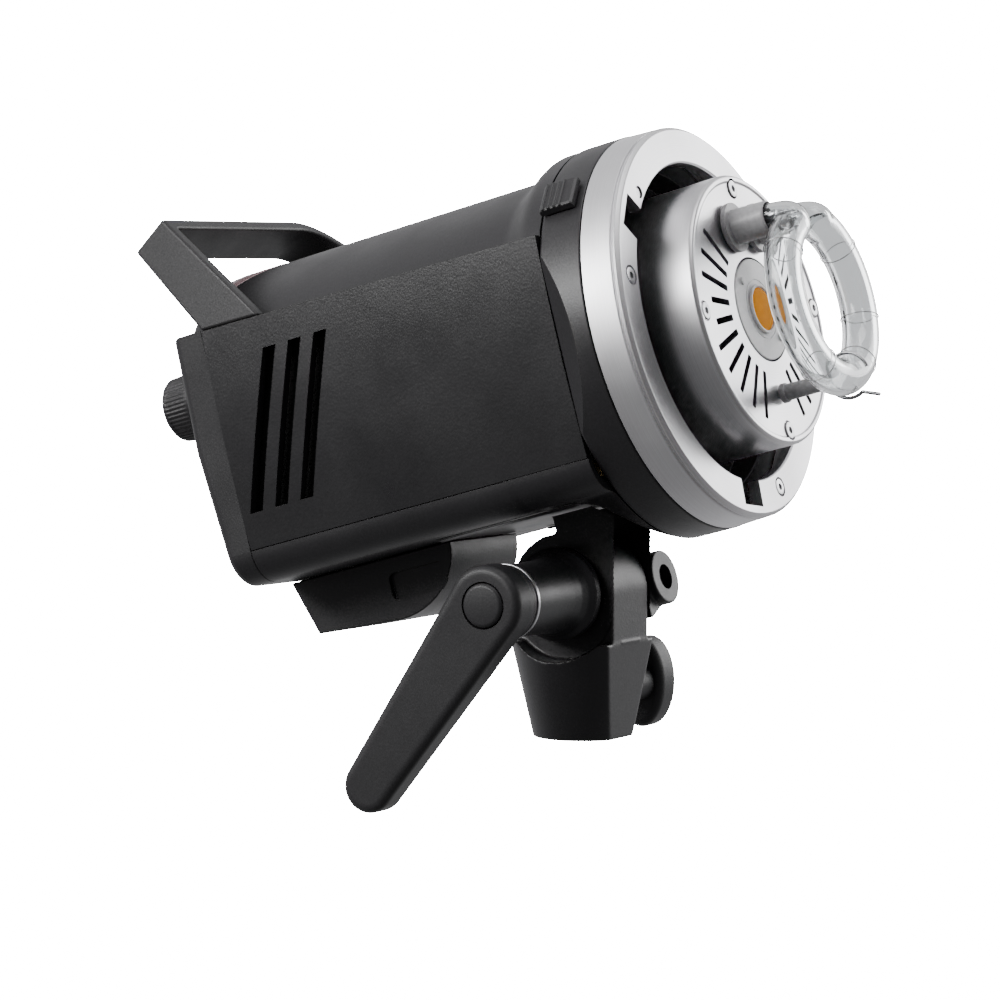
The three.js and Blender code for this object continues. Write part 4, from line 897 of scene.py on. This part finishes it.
def display():
    made = object_of(prism(rounded_box(44, 20, 2, DISPLAY), -166.3, -164.0, "X"), "display_window", OPTICS)
    softened(made, 0.4, 3, 40)
    return piece("display_window", made, "head", "dark_glass")


# ---- Tilt head and clamp ----
def edge_rows(low, high, radius, steps=7):
    """Places along a depth, each with the inset that rounds both edges."""
    turns = [math.radians(90 * k / steps) for k in range(steps + 1)]
    rows = [(low + radius * (1 - math.cos(t)), radius * (1 - math.sin(t))) for t in turns]
    return rows + [(low + high - y, inset) for y, inset in reversed(rows)]


def upright_turned(profile, steps=64, ripple=None):
    """A profile of (distance along Y, radius) turned about Y."""
    shape = turned(profile, steps, ripple)
    shape.transform(Matrix.Rotation(math.radians(90), 4, "Z"))
    return shape


def ear_outline():
    radius, x, z, top = EAR["radius"], EAR["x"], EAR["z"], EAR["top"]
    lean = PITCH
    rise = (top - z + radius * math.sin(lean)) / math.cos(lean)
    low = arc((x, z), radius, 180 + math.degrees(lean), 360 - math.degrees(lean), 40)
    reach = radius * math.cos(lean) + rise * math.sin(lean)
    return low + [(x + reach, top), (x - reach, top)]


def yoke():
    half = 18.6
    spread = [(-half, -22), (half, -22), (half, 16.2)]
    for t in (k / 10 for k in range(1, 11)):
        spread.append((half + 21.4 * t * t + 3 * t * (1 - t), 16.2 + 5.4 * 2 * t * (1 - t) + 8.4 * t * t))
    outline = spread + [(-y, z) for y, z in reversed(spread[2:])]
    made = object_of(prism(ear_outline(), -40, 40, "Y"), "tilt_yoke", TILT)
    combine(made, [prism(outline, -60, 60, "X")], "INTERSECT")
    gap, tongue = 12.6, 17.6  # half of the room between the ears, and the tongue's radius with its play
    cutters = [rod(19.2, -gap, gap, "Y", steps=72), box((2, 60), (-gap, gap), (-40, 26))]
    for angle in (46, 28, 10, -8, -26, -44, -61):
        slab = box((-tongue, tongue), (-gap, gap), (-34, 0))
        slab.transform(Matrix.Rotation(math.radians(angle), 4, "Y"))
        cutters.append(slab)
    chin, clearance = [], 0.4
    for k in range(20):
        x = CHIN["start"] - clearance + 30 * k / 19
        chin.append((x, 45.8 + 17.9 * chin_lift(x + clearance)))
    chin_shape = turned([(chin[0][0], 0)] + chin + [(chin[-1][0], 0)], 128)
    chin_shape.transform(Matrix.Translation(RING_CENTRE))
    combine(made, cutters + [chin_shape])
    boss = [(-15, 0), (-15, 14.6), (-half, 14.6), (-20.4, 13), (-23, 12), (-27, 11.6)]
    boss += [(-49.5, 11.2), (-49.5, 0)]
    added(made, upright_turned(boss, 72))
    blended(made, 0.42, 6)
    combine(made, [rod(4.3, -60, 30, "Y", steps=32), rod(7.8, 14.9, 30, "Y")])
    return piece("tilt_yoke", made, "head", "black_plastic", crisp=50)


def lever_outline(inset):
    """The lever's outline: the hub's circle and the tip's, and their common tangents."""
    hub, end = LEVER["hub"], LEVER["end"]
    length, along = LEVER["reach"] - end, 270 - LEVER["angle"]
    spread = math.degrees(math.acos((hub - end) / length))
    tip = (length * math.cos(math.radians(along)), length * math.sin(math.radians(along)))
    low = arc((0, 0), hub - inset, along + spread, along - spread + 360, 40)
    return low + arc(tip, end - inset, along - spread, along + spread, 24)


def lever():
    rows = edge_rows(LEVER["front"], LEVER["rear"], LEVER["soft"])
    rings = [[(x, y, z) for x, z in lever_outline(inset)] for y, inset in rows]
    made = object_of(loft(rings), "tilt_lever", HANG)
    added(made, rod(LEVER["hub"] - 0.6, -56, -51.5, "Y", steps=72))
    blended(made, 0.42, 4)
    combine(made, [rod(6.3, -60, -50, "Y"), rod(7.3, -70, -56.5, "Y")])
    return piece("tilt_lever", made, "lever", "dark_grey_plastic", crisp=50)


def clamp_parts():
    profile = [(-65.8, 0), (-65.8, 5.6), (-65.4, 6.4), (-64.8, 6.8), (-62, 6.8), (-62, 0)]
    made = object_of(upright_turned(list(reversed(profile))), "lever_cap", HANG)
    piece("lever_cap", made, "clamp", "dark_grey_plastic", crisp=30)
    ring = rounded_profile([(-51.2, 4.3), (-51.2, 11.9), (-49.8, 11.9), (-49.8, 4.3)], 0.3)
    made = object_of(upright_turned(ring, 96), "lever_washer", HANG)
    piece("lever_washer", made, "head", "steel")


def umbrella_holder():
    y, z, screw_x = UMBRELLA["y"], UMBRELLA["z"], UMBRELLA["screw_x"]
    made = object_of(rod(8.8, -12, 15, "X", (y, z), 64), "umbrella_holder", TILT)
    web = [(18.9, 7.8), (y, 7.8), (36, -6.3), (20.4, -13), (18.9, -13)]
    combine(made, [prism(web, -9, 12, "X")], "UNION")
    blended(made, 0.35, 4)
    bores = [rod(4.1, -14, 17, "X", (y, z), 48), rod(3, y, 40, "Y", (screw_x, z), 32)]
    combine(made, bores + [box((-20, 20), (15, 18.85), (-20, 20))])
    piece("umbrella_holder", made, "head", "black_plastic", crisp=45)

    def knurl(x, t):
        return -0.3 * (0.5 - 0.5 * math.cos(24 * t)) if 37.6 < x < 42.2 else 0

    profile = [(33.5, 0), (33.5, 2.4), (37.2, 2.4), (37.2, 4.9), (37.7, 5.2)]
    profile += [(37.7 + 0.45 * k, 5.2) for k in range(1, 10)] + [(42.2, 4.9), (42.6, 4.4), (42.6, 0)]
    shape = upright_turned(list(reversed(profile)), 144, knurl)
    shape.transform(Matrix.Translation((screw_x, 1.4, z)))
    made = object_of(shape, "umbrella_screw", TILT)
    piece("umbrella_screw", made, "umbrella_thumbscrew", "dark_grey_plastic", crisp=35)


# ---- Stand bracket ----
def bracket():
    cone = [(0, 15.8), (31, 23), (31, 0), (0, 0)]
    shape = turned(list(reversed(cone)), 128)
    shape.transform(Matrix.Rotation(math.radians(-90), 4, "Y"))
    made = object_of(shape, "stand_bracket", ROW)
    front = prism([(13.8, 0), (17.2, 31), (40, 31), (40, -2), (13.8, -2)], -40, 40, "Y")
    axis, radius, half = (0, AXIS_HEIGHT), TONGUE["radius"], TONGUE["half"]
    rooms = [rod(EAR["sweep"] + 0.3, low, high, "Y", axis, 96) for low, high in ((-40, -half), (half, 40))]
    combine(made, [front] + rooms)
    block = box((-radius, radius), (-half, half), (30, AXIS_HEIGHT))
    combine(made, [block, rod(radius, -half, half, "Y", axis, 96)], "UNION")
    blended(made, 0.4, 12)
    cutters = [rod(8.1, -2, 32, "Z", steps=64), rod(4.3, -20, 20, "Y", axis, 32)]
    cutters += [rod(13.3, low, high, "Y", axis, 64) for low, high in ((-14, -10.5), (10.5, 14))]
    cutters += [rod(3.4, 0, 40, "Y", (0, LOCK_KNOB["z"]), 32), box((-40, 40), (-40, 40), (-5, 0))]
    combine(made, cutters)
    return piece("stand_bracket", made, "bracket", "black_plastic", crisp=45)


def lock_knob():
    height, half_x, half_z = LOCK_KNOB["z"], LOCK_KNOB["half_x"], LOCK_KNOB["half_z"]
    turns = [2 * math.pi * k / 72 for k in range(72)]
    rings = []
    for y, inset in edge_rows(LOCK_KNOB["inner"], LOCK_KNOB["outer"], LOCK_KNOB["edge"], 8):
        wide, tall = half_x - inset, half_z - inset
        rings.append([(wide * math.cos(t), y, height + tall * math.sin(t)) for t in turns])
    made = object_of(loft(rings), "lock_knob", ROW)
    dimple = upright_turned([(49.1, 0), (50.5, 0), (50.5, 5), (49.7, 4)], 48)
    dimple.transform(Matrix.Translation((0, 0, height)))
    combine(made, [dimple])
    stem = [rod(6, 22.5, 39.4, "Y", (0, height), 48), rod(3, 11.3, 26, "Y", (0, height), 32)]
    combine(made, stem, "UNION")
    return piece("lock_knob", made, "stand_knob", "dark_grey_plastic", crisp=35)


# ---- CAD nodes that are shown as they are ----
SHOWN = {
    "steel": ("lamp_chassis", "lock_pin", "tilt_bolt"),
    "satin_metal": ("led_heat_sink",),
    "circuit_board": ("control_board", "main_board"),
    "black_plastic": ("fan_frame",),
    "dark_grey_plastic": ("fan_rotor",),
    "brass": ("trigger_coil", "clamp_nut", "umbrella_pad", "lock_pad"),
    "capacitor_sleeve": ("flash_capacitor_right", "flash_capacitor_left"),
    "friction_pad": ("friction_disc_right", "friction_disc_left"),
}


def dress_nodes():
    for slot, names in SHOWN.items():
        for name in names:
            node = nodes[name]
            node.data.materials.clear()
            node.data.materials.append(LOOKS[slot])


# ---- Studio ----
CAMERA = {"azimuth": 29.19, "pitch": 3.46, "lens": 140.4, "sensor": 36, "distance": 1.24205}
CAMERA_SHIFT = (-0.0264, 0.07506)  # to the right and up, in metres


def camera():
    azimuth, pitch = math.radians(CAMERA["azimuth"]), math.radians(CAMERA["pitch"])
    level = math.cos(pitch)
    back = Vector((math.sin(azimuth) * level, -math.cos(azimuth) * level, math.sin(pitch)))
    right = Vector((math.cos(azimuth), math.sin(azimuth), 0))
    up = back.cross(right)
    data = bpy.data.cameras.new("camera")
    data.lens, data.sensor_width = CAMERA["lens"], CAMERA["sensor"]
    data.clip_start, data.clip_end = 0.05, 100
    made = bpy.data.objects.new("camera", data)
    bpy.context.scene.collection.objects.link(made)
    turn = Matrix((right, up, back)).transposed().to_4x4()
    place = back * CAMERA["distance"] + right * CAMERA_SHIFT[0] + up * CAMERA_SHIFT[1]
    made.matrix_world = Matrix.Translation(place) @ turn
    bpy.context.scene.camera = made


def softbox(name, direction, distance, size, power, aim=(0, 0, 0.12)):
    data = bpy.data.lights.new(name, "AREA")
    data.shape, data.size, data.size_y, data.energy = "RECTANGLE", size[0], size[1], power
    made = bpy.data.objects.new(name, data)
    bpy.context.scene.collection.objects.link(made)
    away = Vector(direction).normalized()
    made.location = Vector(aim) + away * distance
    made.rotation_mode = "QUATERNION"
    made.rotation_quaternion = away.to_track_quat("Z", "Y")


def studio():
    """Light that comes from behind and above on the left, three soft boxes and a white sweep."""
    world = bpy.data.worlds.new("studio")
    bpy.context.scene.world = world
    world.use_nodes = True
    tree = world.node_tree
    ground = tree.nodes["Background"]
    where = node_of(tree, "ShaderNodeTexCoord").outputs["Generated"]
    toward = node_of(tree, "ShaderNodeVectorMath", [(where, 0)], operation="DOT_PRODUCT")
    toward.inputs[1].default_value = (-0.42, 0.78, 0.46)
    ramp = node_of(tree, "ShaderNodeMapRange", [(toward.outputs["Value"], "Value")])
    for key, value in (("From Min", -0.5), ("From Max", 0.75), ("To Min", 0.16), ("To Max", 0.88)):
        ramp.inputs[key].default_value = value
    tree.links.new(ramp.outputs["Result"], ground.inputs["Strength"])
    ground.inputs["Color"].default_value = (0.98, 0.98, 1, 1)
    softbox("panel_key", (-0.5, -0.8, 0.42), 1.7, (1.3, 0.5), 34)
    softbox("top_key", (0.25, -0.1, 1.0), 1.6, (0.9, 0.9), 9)
    softbox("ring_fill", (0.45, 0.87, 0.3), 1.6, (1.4, 1.0), 19)
    sheet, reach, floor = bmesh.new(), 9000, -900
    bmesh.ops.create_uvsphere(sheet, u_segments=64, v_segments=32, radius=reach)
    for vertex in sheet.verts:
        vertex.co.z = max(vertex.co.z, floor)
    dome = object_of(sheet, "studio_sweep", ROW)
    paper = bpy.data.materials.new("white_paper")
    paper.use_nodes = True
    paper.node_tree.nodes.remove(paper.node_tree.nodes["Principled BSDF"])
    glow = node_of(paper.node_tree, "ShaderNodeEmission", Strength=40.0)
    glow.inputs["Color"].default_value = (1, 1, 1, 1)
    paper.node_tree.links.new(glow.outputs[0], paper.node_tree.nodes["Material Output"].inputs["Surface"])
    dome.data.materials.append(paper)
    dome.visible_diffuse = dome.visible_glossy = False
    dome.visible_shadow = dome.visible_transmission = False


camera()
housing()
side_panel("side_panel_right", -1)
side_panel("side_panel_left", 1)
rear_cover()
sensor_window()
collar()
bayonet_ring()
for index, angle in enumerate(RING_SCREW["angles"]):
    screw(f"ring_screw_{index + 1}", -1.0, angle, RING_SCREW)
release_slider()
lamp_drum()
for index, angle in enumerate(FACE_SCREW["angles"]):
    screw(f"face_screw_{index + 1}", DRUM["face"] - 1.05, angle, FACE_SCREW)
led()
flash_tube()
tube_socket("tube_socket_right", -1)
tube_socket("tube_socket_left", 1)
electrode("electrode_right", -1)
electrode("electrode_left", 1)
tube_post()
tube_clip()
handle()
power_box()
power_inlet()
dial()
keys()
rocker()
display()
yoke()
lever()
clamp_parts()
umbrella_holder()
bracket()
lock_knob()
dress_nodes()
studio()
